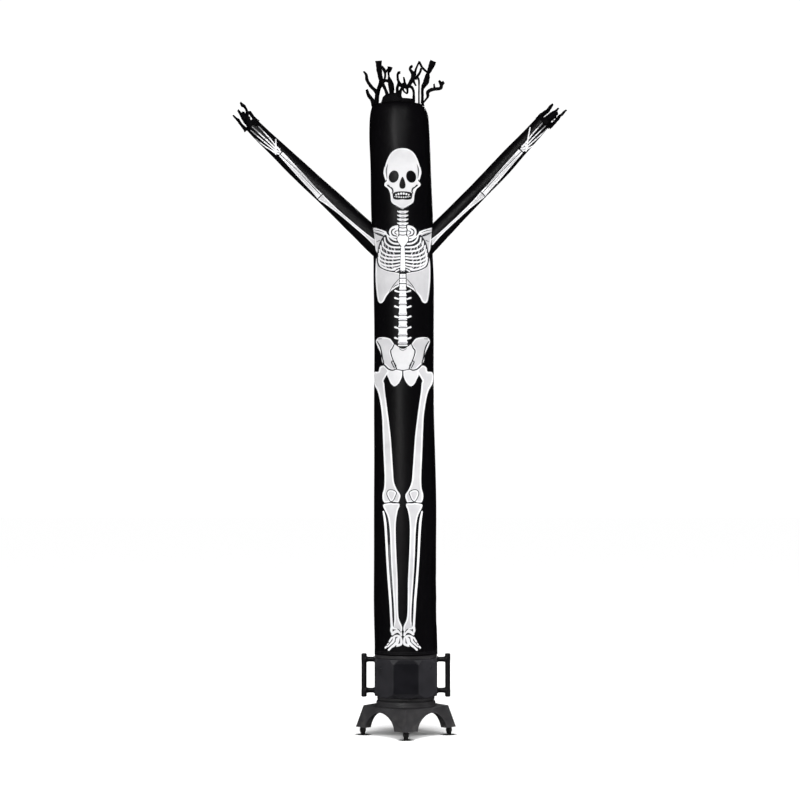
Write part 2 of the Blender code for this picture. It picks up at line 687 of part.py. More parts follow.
def make_guard():
    """A plain intake guard in the base's round hole: two rings, a hub and eight bars."""
    low, high = GUARD_BOTTOM, GUARD_TOP
    outer = BORE_RADIUS - SEAT
    ring = [(outer, high), (outer, low), (outer - 0.008, low), (outer - 0.008, high)]
    guard = make_turned("intake_guard", ring, PLASTIC_BLACK, True)
    middle = [(0.075, high), (0.075, low), (0.070, low), (0.070, high)]
    inner = add_cutter("guard_ring", turned_mesh("guard_ring", middle, True))
    add_screw(inner, 24)
    add_boolean(guard, inner, "UNION")
    hub = cylinder_mesh("guard_hub", 0.030, 0.030, high - low, 16,
                        Matrix.Translation((0, 0, (low + high) / 2)))
    add_boolean(guard, add_cutter("guard_hub", hub), "UNION")
    for k in range(4):
        bm = bmesh.new()
        bmesh.ops.create_cube(bm, size=1.0, matrix=Matrix.Translation((0, 0, (low + high) / 2))
                              @ Matrix.Rotation(pi * (k + 0.5) / 4, 4, "Z")
                              @ Matrix.Diagonal((2 * outer - 0.008, 0.006, 0.004, 1.0)))
        add_boolean(guard, add_cutter(f"guard_bar_{k}", mesh_from(bm, "guard_bar")), "UNION")


def make_handle(side):
    """An upright grip with round ends on two short arms that widen where they meet it."""
    sign = -1 if side == "left" else 1
    bm = bmesh.new()
    middle = (GRIP_BOTTOM + GRIP_TOP) / 2
    bmesh.ops.create_cone(bm, cap_ends=True, segments=16, radius1=GRIP_DIAMETER / 2,
                          radius2=GRIP_DIAMETER / 2, depth=GRIP_TOP - GRIP_BOTTOM,
                          matrix=Matrix.Translation((sign * HANDLE_X, 0, middle)))
    rims = [edge for edge in bm.edges if abs(edge.verts[0].co.z - edge.verts[1].co.z) < 0.001]
    bmesh.ops.bevel(bm, geom=rims, offset=0.006, segments=3, affect="EDGES", clamp_overlap=True)
    handle = add_object(f"handle_{side}", mesh_from(bm, f"handle_{side}"), PLASTIC_BLACK)
    inner_end = HOUSING_FLAT + SEAT
    length = HANDLE_X - inner_end
    for height in HANDLE_ARM_HEIGHTS:
        for name, radius_low, radius_high, start, reach in (
                ("arm", ARM_DIAMETER / 2, ARM_DIAMETER / 2, inner_end, length),
                ("flare", ARM_DIAMETER / 2, 0.017, HANDLE_X - 0.028, 0.024)):
            place = (Matrix.Translation((sign * (start + reach / 2), 0, height))
                     @ Matrix.Rotation(sign * pi / 2, 4, "Y"))
            mesh = cylinder_mesh(name, radius_low, radius_high, reach, 14, place)
            cutter = add_cutter(f"handle_{side}_{name}_{round(height * 1000)}", mesh)
            add_boolean(handle, cutter, "UNION")


def make_feet():
    for k in range(4):
        angle = pi / 2 * k
        make_turned(f"foot_{k + 1}", FOOT_PROFILE, RUBBER_BLACK, False, 16,
                    (FOOT_CIRCLE * cos(angle), FOOT_CIRCLE * sin(angle), 0.0))


make_body_tube()
make_hair()
for arm_side in ("left", "right"):
    make_arm(arm_side)
    make_fingers(arm_side)
    make_handle(arm_side)
make_rim()
make_housing()
make_waist()
make_base()
make_guard()
make_feet()
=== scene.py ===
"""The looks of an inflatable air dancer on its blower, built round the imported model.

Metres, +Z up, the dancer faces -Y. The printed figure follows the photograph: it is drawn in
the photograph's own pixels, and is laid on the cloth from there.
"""

import random
from collections import namedtuple
from math import asin, atan2, ceil, cos, exp, hypot, pi, radians, sin, sqrt

import bmesh
import bpy
import numpy as np
from mathutils import Matrix, Vector, noise
from mathutils.geometry import delaunay_2d_cdt
from mathutils.kdtree import KDTree


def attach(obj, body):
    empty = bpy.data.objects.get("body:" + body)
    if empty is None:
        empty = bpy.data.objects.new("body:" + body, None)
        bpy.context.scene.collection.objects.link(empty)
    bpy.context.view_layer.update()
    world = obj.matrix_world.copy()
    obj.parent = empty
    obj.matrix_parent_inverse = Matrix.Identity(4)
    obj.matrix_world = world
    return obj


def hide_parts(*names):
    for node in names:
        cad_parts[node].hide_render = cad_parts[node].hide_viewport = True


# ---------------------------------------------------------------- camera

EYE = Vector((-0.0298, -10.0, 1.280))
TILT = 0.04156
FOCAL_PIXELS = 1962.0
FRAME_PIXELS = 800
SENSOR = 36.0


def add_object(name, data):
    made = bpy.data.objects.new(name, data)
    bpy.context.scene.collection.objects.link(made)
    return made


camera = add_object("camera", bpy.data.cameras.new("camera"))
bpy.context.scene.camera = camera
camera.location = EYE
camera.rotation_euler = (pi / 2 + TILT, 0, 0)
camera.data.sensor_width = SENSOR
camera.data.lens = FOCAL_PIXELS * SENSOR / FRAME_PIXELS
camera.data.clip_end = 200

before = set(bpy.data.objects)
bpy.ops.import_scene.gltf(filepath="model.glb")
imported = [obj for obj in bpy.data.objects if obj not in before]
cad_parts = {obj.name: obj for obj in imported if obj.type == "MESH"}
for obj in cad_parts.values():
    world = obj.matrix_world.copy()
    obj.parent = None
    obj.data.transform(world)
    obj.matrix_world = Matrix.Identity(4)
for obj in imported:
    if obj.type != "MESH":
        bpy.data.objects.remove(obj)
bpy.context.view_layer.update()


def seen_at(px, py, depth):
    """The point behind a pixel of the picture, on the upright plane y = depth."""
    a = (px - FRAME_PIXELS / 2) / FOCAL_PIXELS
    b = (FRAME_PIXELS / 2 - py) / FOCAL_PIXELS
    ray = Vector((a, cos(TILT) - b * sin(TILT), sin(TILT) + b * cos(TILT)))
    return EYE + ray * ((depth - EYE.y) / ray.y)


# ---------------------------------------------------------------- sizes kept from the solids

CLOTH = 0.0012
SEAM = 0.0005
SEAT = 0.0003
HEM_FOLD, HEM_FOLDS, HEM_REACH = 0.0016, 9, 0.10
GATHER_FOLD, GATHER_FOLDS, GATHER_REACH = 0.0012, 11, 0.055
SWAY, ARM_SWAY = 0.0012, 0.0010
BODY_STEP, ARM_STEP = 0.0135, 0.0095   # between the points of the flat cloth

Section = namedtuple("Section", "z x y width")
BODY = [Section(*row) for row in (
    (0.4083, 0.000, 0.000, 0.318), (0.4600, 0.000, 0.000, 0.318),
    (0.6370, -0.004, 0.000, 0.316), (1.1470, -0.004, 0.004, 0.316),
    (1.4020, -0.006, 0.006, 0.311), (1.6570, -0.009, 0.006, 0.306),
    (2.0400, -0.009, 0.003, 0.306), (2.2950, -0.011, 0.000, 0.311),
    (2.4220, -0.014, -0.002, 0.306), (2.6260, -0.019, -0.003, 0.316),
    (2.8810, -0.026, -0.003, 0.311), (3.0340, -0.032, -0.002, 0.311),
    (3.1150, -0.034, 0.000, 0.306), (3.1550, -0.035, 0.000, 0.299),
    (3.1820, -0.037, 0.000, 0.286), (3.2010, -0.039, 0.000, 0.268))]
BODY_LOW, BODY_TOP = BODY[0].z, BODY[-1].z
ARM_SECTIONS = {
    "left": ((-0.166, -0.002, 2.516, 0.122), (-0.238, -0.002, 2.584, 0.115),
             (-0.301, -0.002, 2.644, 0.110), (-0.385, 0.000, 2.724, 0.106),
             (-0.471, 0.004, 2.803, 0.100), (-0.556, 0.006, 2.883, 0.094),
             (-0.640, 0.004, 2.963, 0.088), (-0.725, 0.000, 3.044, 0.083),
             (-0.790, -0.003, 3.108, 0.076)),
    "right": ((0.139, -0.002, 2.525, 0.108), (0.217, -0.002, 2.607, 0.102),
              (0.256, -0.002, 2.647, 0.099), (0.335, 0.000, 2.728, 0.099),
              (0.413, 0.005, 2.809, 0.098), (0.491, 0.007, 2.891, 0.097),
              (0.568, 0.004, 2.975, 0.092), (0.645, 0.000, 3.057, 0.085),
              (0.705, -0.003, 3.124, 0.079)),
}

# The torn strands as they are seen: on the viewer's side (-1) or on the far one (1), the
# pixels they pass and how wide they look there.
Strand = namedtuple("Strand", "side points widths")
HAIR = [Strand(*row) for row in (
    (-1, ((374.6, 104), (376.4, 97), (376, 91.6), (371.5, 87), (367.2, 80.5), (366.2, 74.8),
          (363.6, 71.4)), (3, 2.6, 3.6, 3.2, 3, 2.6, 1.8)),
    (1, ((374, 110), (372.6, 101), (368.8, 95.5), (367.4, 92), (366.8, 89.6)),
     (4, 3.6, 3, 2.6, 2.2)),
    (-1, ((377.2, 104), (377.6, 97), (378.8, 88.5), (381.4, 82.5), (380.2, 76.5), (379.2, 70),
          (378.5, 60.7)), (3, 2.6, 3.2, 4.6, 4.2, 5, 5.8)),
    (-1, ((387.4, 95), (385.6, 90), (383.4, 85), (382.2, 80.6)), (3.2, 2.6, 2.8, 3.2)),
    (1, ((391.4, 110), (391.6, 93), (391.2, 86.4), (390.2, 81.5), (388.9, 76.5), (388.6, 72.4),
         (389.7, 69.4), (390, 66.9)), (5, 4.4, 5.6, 4.6, 1.8, 1.7, 3.6, 4.8)),
    (-1, ((382.6, 82.4), (384.8, 78.4), (385.2, 73.6), (384.4, 70.4), (381.8, 66.2)),
     (3.8, 2, 2, 2.8, 1.1)),
    (-1, ((385.2, 72.6), (386.8, 70.8), (388.8, 68.6)), (1.8, 2, 2.2)),
    (-1, ((381.4, 81.8), (386, 80.6), (390.6, 82.2)), (3.4, 3, 3.4)),
    (1, ((397.8, 110), (397.6, 94), (397.2, 88), (399, 83.2), (397.9, 79.6), (397.6, 75.2),
         (398.5, 72.9), (400.5, 72.5)), (4, 3.6, 2.3, 3, 2.3, 1.9, 2, 1.7)),
    (-1, ((398.6, 96), (400.6, 90.6), (402.2, 87), (399.4, 83.6)), (5, 2.8, 2.6, 2.6)),
    (-1, ((401.6, 84.2), (405.2, 86.4), (404.6, 82.2), (403.8, 77.2)), (2.8, 4.2, 2.2, 1.4)),
    (-1, ((403.4, 86.8), (403.4, 90.4), (405.6, 92.8), (407.4, 93.2), (407.4, 88)),
     (1.4, 1.8, 1.6, 1.6, 2.2)),
    (-1, ((405, 87.6), (408.2, 86.2), (410.6, 82.2), (413, 77.4), (412.7, 73.2), (410.5, 70.2),
          (410.2, 67.8), (412.6, 65.8)), (2.8, 3.2, 3.4, 4, 3.8, 2.8, 2, 1.7)),
    (1, ((413.6, 110), (413.8, 98), (413.6, 91.4), (411.8, 87.4), (408.4, 86.2)),
     (2.8, 2.4, 2, 2.4, 2.4)),
    (1, ((416, 86), (413.6, 80.6), (414.8, 74.6), (415.8, 69.4), (419.4, 61.2)),
     (1.6, 2.2, 2.6, 1.7, 1.2)),
    (1, ((419.3, 61.4), (421.6, 66.6), (425, 70.4), (428.6, 73.2)), (1.8, 2.2, 2.2, 2.2)),
    (-1, ((421.2, 68), (420.2, 72), (417.6, 76), (415.2, 79.6)), (1.9, 2.2, 2.4, 2.2)),
    (1, ((419, 110), (418.9, 96), (419, 86), (418.8, 80), (416.6, 76)),
     (1.6, 1.3, 1.3, 1.8, 2.2)),
    (-1, ((422.4, 104), (422.4, 96), (422.6, 88), (425.8, 82.4), (427.2, 77.4), (428.4, 72.8),
          (430.6, 67.6), (433.3, 61)), (3, 2.4, 2.6, 5.2, 4.8, 2.6, 4.8, 6)),
    (-1, ((422.2, 104), (425.2, 100.4), (427.8, 96.6), (427.8, 92.4), (431, 89.9), (436, 89),
          (440.6, 88.2), (441.2, 84.4), (438.9, 80.6)),
     (1.8, 1.8, 2.4, 3.4, 3.4, 3.2, 3.2, 3, 1.7)),
    (-1, ((440.8, 85.4), (442.4, 83.6), (444, 81.8)), (3.2, 3, 2.4)),
    (1, ((434.2, 89.6), (434.3, 86.6), (433.9, 83.8)), (2.6, 1.7, 1.1)))]
FINGERS = {
    "left": [Strand(*row) for row in (
        (-1, ((246.6, 130.8), (243.4, 127), (240.4, 123.6), (238, 120), (235.2, 117.6),
              (233.2, 115.3)), (4.6, 3.2, 2.6, 3, 2, 1.5)),
        (1, ((251, 127), (248.2, 123.6), (245.2, 120.6), (243, 117.4), (241, 114.4),
             (239.4, 112.2), (238, 110.3)), (6, 5, 4, 3.6, 2.6, 2, 1.6)),
        (-1, ((246.4, 119), (245.2, 115.8), (243.8, 113.8), (243, 111.5)), (4, 3.2, 2.6, 2)),
        (-1, ((251.2, 126), (248.2, 121), (246.4, 117.4), (246.9, 114), (246.8, 111.2),
              (245.9, 108.8), (244.2, 106.2), (241.9, 104.8), (240.5, 102.5)),
         (6, 5, 4.4, 4, 2.4, 2, 2.2, 2.5, 1.4)),
        (1, ((257.8, 122.4), (255.2, 119.6), (252.8, 116.8), (250.7, 113.8), (249.7, 111.2)),
         (4.6, 3.6, 3, 3.2, 2)),
        (1, ((246.8, 113.4), (248.8, 113.4), (250.6, 113.2)), (2, 2.2, 2.2)),
        (1, ((249, 119.6), (249.4, 117.6), (248.4, 116.6)), (1.8, 1.5, 1.4)),
        (-1, ((255.8, 125.4), (253.4, 122.4), (251.4, 120.4)), (7, 6, 5)))],
    "right": [Strand(*row) for row in (
        (1, ((537.6, 120), (541, 116), (545, 112.8), (547.9, 110.6), (550, 107.5),
             (552.9, 104.2)), (5, 4.4, 3.6, 3.2, 3, 1.4)),
        (-1, ((545, 121), (548, 117.4), (551.6, 113.9), (554.2, 112.1), (556.3, 110.4),
              (558.4, 108.2)), (6.4, 4.6, 3.8, 3.6, 2.4, 1.6)),
        (1, ((549, 120), (553.2, 116.6), (555.4, 114.6), (558, 112.8)), (4.6, 4.2, 3, 1.8)),
        (-1, ((548.8, 127.6), (553, 124), (555.8, 120.9), (558, 118.6), (559.4, 116.2),
              (562.1, 114.4), (564.2, 111.8), (566.4, 110)),
         (4.2, 3.4, 3.1, 3.2, 2.8, 2.6, 2.2, 1.7)),
        (1, ((556.6, 117.6), (553.6, 118.2), (552.8, 120.6)), (2.2, 1.6, 1.4)),
        (-1, ((543, 122.6), (546.4, 119.8), (549.2, 118.6)), (8, 7, 4)),
        (1, ((545.8, 126.2), (549, 123.2), (550.6, 121.4)), (7, 5.6, 3)))],
}
# how far the uncut cloth stands up over the rim, across the front of the picture
UNCUT = ((371.0, 0.010), (376.0, 0.009), (377.2, 0.003), (381.2, 0.003), (382.8, 0.030),
         (386.0, 0.045), (400.4, 0.048), (402.4, 0.022), (413.2, 0.021), (414.2, 0.012),
         (415.0, 0.003), (421.6, 0.003), (422.6, 0.010), (426.0, 0.010))

# ---------------------------------------------------------------- materials

CHECK, THREAD = 0.003, 0.0009          # half a square of the thicker threads, a pair of thin ones
STITCH, STITCH_ROWS = 0.002, (0.010, 0.018)


class Nodes:
    """Short words for building a material's nodes."""

    def __init__(self, material):
        material.use_nodes = True
        self.tree = material.node_tree
        self.shader = self.tree.nodes["Principled BSDF"]

    def add(self, kind, values=(), **settings):
        node = self.tree.nodes.new("ShaderNode" + kind)
        for key, value in settings.items():
            setattr(node, key, value)
        for key, value in dict(values).items():
            self.put(value, node.inputs[key])
        return node

    def put(self, value, socket):
        if isinstance(value, bpy.types.NodeSocket):
            self.tree.links.new(value, socket)
        else:
            socket.default_value = value

    def math(self, operation, a, b=0.0):
        return self.add("Math", {0: a, 1: b}, operation=operation).outputs[0]

    def times(self, a, b):
        return self.math("MULTIPLY", a, b)

    def plus(self, a, b):
        return self.math("ADD", a, b)

    def noise(self, place, scale, detail=3.0, rough=0.55):
        node = self.add("TexNoise", {"Vector": place, "Scale": scale, "Detail": detail,
                                     "Roughness": rough})
        return node.outputs["Fac"]

    def span(self, value, low, high, to_low=0.0, to_high=1.0):
        node = self.add("MapRange", {"Value": value, "From Min": low, "From Max": high,
                                     "To Min": to_low, "To Max": to_high})
        return node.outputs["Result"]

    def mix(self, share, first, second):
        node = self.add("Mix", data_type="RGBA")
        self.put(share, node.inputs[0])
        self.put(first, node.inputs[6])
        self.put(second, node.inputs[7])
        return node.outputs[2]

    def finish(self, colour, roughness, bump, strength, distance, specular):
        self.put(colour, self.shader.inputs["Base Color"])
        self.put(roughness, self.shader.inputs["Roughness"])
        self.shader.inputs["Specular IOR Level"].default_value = specular
        node = self.add("Bump", {"Height": bump, "Strength": strength, "Distance": distance})
        self.put(node.outputs["Normal"], self.shader.inputs["Normal"])


def tint(colour, factor):
    return (*(c * factor for c in colour), 1)


def cloth_material(name, colour, specular, rough, stitched=False):
    """Thin woven nylon with a check of thicker threads, and two rows of stitches at a hem."""
    material = bpy.data.materials.new(name)
    n = Nodes(material)
    flat = n.add("UVMap", uv_map="cloth").outputs["UV"]
    parts = n.add("SeparateXYZ", {"Vector": flat})
    across, along = parts.outputs["X"], parts.outputs["Y"]
    ways = (across, along)
    check = n.math("MAXIMUM", *(n.span(n.math("PINGPONG", way, CHECK), 0.0, 0.0005, 1.0, 0.0)
                                for way in ways))
    weave = n.times(*(n.math("SINE", n.times(way, 2 * pi / THREAD)) for way in ways))
    place = n.add("TexCoord").outputs["Object"]
    broad = n.noise(place, 5.0, 4.0)
    fine = n.noise(place, 70.0, 3.0)
    height = n.plus(n.times(check, 0.5), n.times(weave, 0.25))
    height = n.plus(height, n.times(fine, 1.6))
    shade = n.mix(n.span(broad, 0.3, 0.7), tint(colour, 0.80), tint(colour, 1.12))
    shade = n.mix(n.times(check, 0.18), shade, tint(colour, 1.6 if colour[0] < 0.1 else 0.85))
    roughness = n.plus(n.span(fine, 0.3, 0.7, rough - 0.05, rough + 0.06),
                       n.times(check, 0.06))
    if stitched:
        dash = n.span(n.math("PINGPONG", across, STITCH), 0.0004, 0.0007)
        offs = (n.math("ABSOLUTE", n.math("SUBTRACT", along, BODY_LOW + up)) for up in STITCH_ROWS)
        rows = n.math("MAXIMUM", *(n.times(n.span(off, 0.0005, 0.0009, 1.0, 0.0), dash)
                                   for off in offs))
        height = n.plus(height, n.times(rows, 3.0))
        shade = n.mix(n.times(rows, 0.8), shade, (0.02, 0.02, 0.022, 1))
    n.finish(shade, roughness, height, 0.45, 0.00030, specular)
    return material


def plastic_material(name, colour, rough, specular, grain=900.0, dust=0.25):
    """Moulded plastic: fine grain, slow mottling, scuffs, edges lightened partly by wear and partly as
    painted highlight, painted shade in its hollows, and dust low down.
    """
    material = bpy.data.materials.new(name)
    n = Nodes(material)
    place = n.add("TexCoord").outputs["Object"]
    mottle = n.noise(place, 14.0, 5.0)
    pits = n.noise(place, grain, 2.0)
    orange = n.noise(place, 160.0, 2.0)
    stretched = n.add("Mapping", {"Vector": place, "Scale": (60.0, 60.0, 500.0)}).outputs[0]
    scratch = n.span(n.noise(stretched, 1.0, 2.0), 0.66, 0.72)
    shade = n.mix(n.span(mottle, 0.35, 0.65), tint(colour, 0.82), tint(colour, 1.20))
    shade = n.mix(n.times(scratch, 0.25), shade, tint(colour, 1.9))
    edge = n.add("NewGeometry").outputs["Pointiness"]
    # Wear and painted highlight: sharp edges are lightened, partly as rubbed plastic and partly as the
    # highlight along the rounded edges.
    worn_edge_and_highlight = n.times(n.span(edge, 0.51, 0.56), n.span(mottle, 0.30, 0.6, 0.5, 1.0))
    shade = n.mix(n.times(worn_edge_and_highlight, 0.60), shade, tint(colour, 2.6))
    # Painted shade: the colour darkens to a fifth where the piece's own shape closes round a point
    # within 12 cm, in its recesses and under its overhangs.
    hollow = n.add("AmbientOcclusion", {"Distance": 0.12}, samples=8, only_local=True).outputs["AO"]
    shade = n.mix(n.span(hollow, 0.94, 0.55), shade, tint(colour, 0.2))
    up = n.add("SeparateXYZ", {"Vector": place}).outputs["Z"]
    dusty = n.times(n.span(up, 0.16, 0.02), n.span(n.noise(place, 35.0, 4.0), 0.45, 0.75))
    shade = n.mix(n.times(dusty, dust), shade, (0.10, 0.095, 0.085, 1))
    roughness = n.plus(n.span(mottle, 0.3, 0.7, rough - 0.05, rough + 0.07),
                       n.times(dusty, 0.2))
    height = n.plus(n.times(pits, 0.7), n.times(orange, 1.0))
    height = n.math("SUBTRACT", height, n.times(scratch, 0.35))
    n.finish(shade, roughness, height, 0.35, 0.00035, specular)
    return material


INK = {
    "cloth": cloth_material("cloth_black", (0.0015, 0.0013, 0.0017), 0.17, 0.36, True),
    **{ink: cloth_material(name, colour, 0.15, 0.60) for ink, name, colour in (
        ("bone", "print_white", (0.502, 0.502, 0.512)),
        ("pale", "print_off_white", (0.430, 0.428, 0.436)),
        ("shade", "print_pale_grey", (0.354, 0.352, 0.360)),
        ("dim", "print_light_grey", (0.350, 0.348, 0.356)),
        ("soft", "print_soft_grey", (0.17, 0.17, 0.175)),
        ("mid", "print_grey", (0.075, 0.075, 0.080)))},
    "line": cloth_material("print_line", (0.012, 0.012, 0.014), 0.15, 0.55),
}
INK_ORDER = list(INK)
RIBBON_CLOTH = cloth_material("cloth_black_ribbon", (0.0014, 0.0012, 0.0016), 0.06, 0.60)
CHARCOAL = plastic_material("plastic_charcoal_moulded", (0.0098, 0.0095, 0.0112), 0.44, 0.30)
CHARCOAL_BASE = plastic_material("plastic_charcoal_base", (0.0146, 0.0141, 0.0150), 0.46, 0.40)
# A darker copy of the charcoal for the housing's front flat: painted shade.
FRONT_FLAT_PAINTED_SHADE = plastic_material("plastic_charcoal_front_painted_shade", (0.0052, 0.0050, 0.0064), 0.46, 0.20)
# A lighter copy of the charcoal for the housing's upward turned corners: painted light.
FACETS_PAINTED_LIGHT = plastic_material("plastic_charcoal_facets_painted_light", (0.0165, 0.0163, 0.0180), 0.40, 0.45)
LABEL = plastic_material("label_bare", (0.0024, 0.0023, 0.0032), 0.42, 0.14, 400.0, 0.0)
BLACK = plastic_material("plastic_black_moulded", (0.0047, 0.0043, 0.0052), 0.42, 0.30)
RUBBER = plastic_material("rubber_black_worn", (0.0040, 0.0040, 0.0045), 0.70, 0.14, 500.0, 0.2)

# ---------------------------------------------------------------- the cloth's shape


def smooth_rows(rows, position, values):
    """Reads a table at a position along it, on a smooth curve through its rows."""
    last = len(rows) - 1
    index = 0
    while index < last - 1 and position > rows[index + 1][0]:
        index += 1
    start, end = rows[index][0], rows[index + 1][0]
    t = min(max((position - start) / (end - start), 0.0), 1.0)
    result = []
    for column in values:
        before, here = rows[max(index - 1, 0)], rows[index]
        there, after = rows[index + 1], rows[min(index + 2, last)]
        slope_here = (there[column] - before[column]) / max(there[0] - before[0], 1e-9)
        slope_there = (after[column] - here[column]) / max(after[0] - here[0], 1e-9)
        span = end - start
        result.append((2 * t**3 - 3 * t**2 + 1) * here[column]
                      + (t**3 - 2 * t**2 + t) * span * slope_here
                      + (-2 * t**3 + 3 * t**2) * there[column]
                      + (t**3 - t**2) * span * slope_there)
    return result


def body_fold(angle, height):
    """The even folds of the hem and of the gathered top, and a slow sway between them."""
    share = (height - BODY_LOW) / (BODY_TOP - BODY_LOW)
    hem = HEM_FOLD * exp(-(height - BODY_LOW) / HEM_REACH) * (1 + cos(HEM_FOLDS * angle)) / 2
    gather = GATHER_FOLD * exp(-(BODY_TOP - height) / GATHER_REACH) * cos(GATHER_FOLDS * angle)
    sway = SWAY * sin(2 * angle + 2 * pi * share) * sin(pi * share) ** 2
    return hem + gather + sway


def body_surface(angle, height, inset=0.0):
    x, y, width = smooth_rows(BODY, height, (1, 2, 3))
    radius = width / 2 + body_fold(angle, height) - inset
    return Vector((x + radius * cos(angle), y + radius * sin(angle), height))


class Sleeve:
    """An arm: a tapering cloth tube from its mouth on the body to its open end."""

    def __init__(self, sections):
        self.rows = []
        distance = 0.0
        place = Vector(sections[0][:3])
        for section in sections:
            distance += (Vector(section[:3]) - place).length
            place = Vector(section[:3])
            self.rows.append((distance, *section))
        self.length = distance

    def middle(self, distance):
        return Vector(smooth_rows(self.rows, distance, (1, 2, 3)))

    def frame(self, distance):
        near, far = max(distance - 0.01, 0.0), min(distance + 0.01, self.length)
        along = (self.middle(far) - self.middle(near)).normalized()
        across = Vector((0.0, 1.0, 0.0))
        across = (across - along * across.dot(along)).normalized()
        upper = across.cross(along)
        if upper.z < 0:
            upper = -upper
        return along, upper, across

    def point(self, angle, distance, inset=0.0):
        """Also a little before the sleeve's first section, on its straight way back."""
        along, upper, across = self.frame(max(distance, 0.0))
        radius = smooth_rows(self.rows, distance, (4,))[0] / 2 - inset
        share = max(distance, 0.0) / self.length
        radius += ARM_SWAY * sin(2 * angle + 4 * pi * share) * sin(pi * share)
        middle = self.middle(distance) + along * min(distance, 0.0)
        return middle + (upper * cos(angle) + across * sin(angle)) * radius

    def mouth(self, angle):
        """How far along the sleeve its cloth meets the body tube, at an angle."""
        along = self.frame(0.0)[0]
        start = self.point(angle, 0.0)
        low, high = -BODY[0].width / 2, BODY[0].width / 2
        for _ in range(30):
            middle = (low + high) / 2
            point = start + along * middle
            x, y = smooth_rows(BODY, point.z, (1, 2))
            turn = atan2(point.y - y, point.x - x)
            surface = body_surface(turn, point.z, -SEAM)
            if hypot(point.x - x, point.y - y) > hypot(surface.x - x, surface.y - y):
                high = middle
            else:
                low = middle
        return high


SLEEVES = {side: Sleeve(rows) for side, rows in ARM_SECTIONS.items()}

# ---------------------------------------------------------------- drawing words


def curve(points, closed=True, steps=5):
    """A smooth line through the points (Catmull-Rom)."""
    count = len(points)
    result = []
    for k in range(count if closed else count - 1):
        if closed:
            p = [points[(k + j) % count] for j in (-1, 0, 1, 2)]
        else:
            p = [points[max(k - 1, 0)], points[k], points[k + 1], points[min(k + 2, count - 1)]]
        for s in range(steps):
            t = s / steps
            result.append(tuple(
                0.5 * (2 * p[1][c] + (p[2][c] - p[0][c]) * t
                       + (2 * p[0][c] - 5 * p[1][c] + 4 * p[2][c] - p[3][c]) * t * t
                       + (3 * p[1][c] - p[0][c] - 3 * p[2][c] + p[3][c]) * t**3)
                for c in (0, 1)))
    if not closed:
        result.append(tuple(points[-1]))
    return result


def oval(x, y, rx, ry, tilt=0.0):
    c, s = cos(radians(tilt)), sin(radians(tilt))
    return [(x + rx * cos(a) * c - ry * sin(a) * s, y + rx * cos(a) * s + ry * sin(a) * c)
            for a in (2 * pi * k / 18 for k in range(18))]


def along_line(line, widths):
    """The widths given for a line, one at each of its points."""
    spans = max(len(widths) - 1, 1)
    result = []
    for k in range(len(line)):
        at = k * spans / (len(line) - 1)
        i = min(int(at), len(widths) - 2)
        result.append(widths[i] + (widths[i + 1] - widths[i]) * (at - i))
    return result


def limb(points, widths, rounded=True):
    """A stroke along a smooth line, with a width at each of its points."""
    line = curve(points, False, 4) if len(points) > 2 else points
    thick = along_line(line, widths if hasattr(widths, "__len__") else [widths] * 2)
    left, right, caps = [], [], []
    for k, (x, y) in enumerate(line):
        a, b = line[max(k - 1, 0)], line[min(k + 1, len(line) - 1)]
        dx, dy = b[0] - a[0], b[1] - a[1]
        size = hypot(dx, dy) or 1.0
        r = thick[k] / 2
        dx, dy = dx / size, dy / size
        left.append((x - dy * r, y + dx * r))
        right.append((x + dy * r, y - dx * r))
        if rounded and k in (0, len(line) - 1):
            way = 1 if k else -1
            caps.append([(x + way * r * (sin(t) * dx - cos(t) * dy),
                          y + way * r * (sin(t) * dy + cos(t) * dx))
                         for t in (pi / 4, pi / 2, 3 * pi / 4)])
    if not rounded:
        return left + right[::-1]
    return left + caps[1] + right[::-1] + caps[0]


def inset(outline, amount):
    """The same outline, drawn in by a distance."""
    count = len(outline)
    area = sum(outline[k][0] * outline[(k + 1) % count][1]
               - outline[(k + 1) % count][0] * outline[k][1] for k in range(count))
    sign = 1 if area > 0 else -1
    result = []
    for k in range(count):
        a, b = outline[k - 1], outline[(k + 1) % count]
        dx, dy = b[0] - a[0], b[1] - a[1]
        size = hypot(dx, dy) or 1.0
        result.append((outline[k][0] - sign * dy / size * amount,
                       outline[k][1] + sign * dx / size * amount))
    return result


class Drawing:
    """Filled outlines in painting order, drawn about a middle line."""

    def __init__(self, middle=0.0):
        self.middle = middle
        self.shapes = []

    def paint(self, ink, outline, both=False):
        self.shapes.append((ink, [(self.middle + x, y) for x, y in outline]))
        if both:
            self.shapes.append((ink, [(self.middle - x, y) for x, y in outline]))

    def stroke(self, ink, points, widths, both=True, rounded=True):
        self.paint(ink, limb(points, widths, rounded=rounded), both)

    def bone(self, outline, both, border, core="shade"):
        """White with a pale grey core."""
        self.paint("bone", outline, both)
        self.paint(core, inset(outline, border), both)


def mirrored(points):
    return [(-x, y) for x, y in reversed(points)]


# ---------------------------------------------------------------- the printed figure

# Everything here is in pixels: across from the figure's middle, and down from the picture's top.
FIGURE_MIDDLE = 402.8
SKULL_LEFT = 0.35                      # how far the skull stands to the left of it


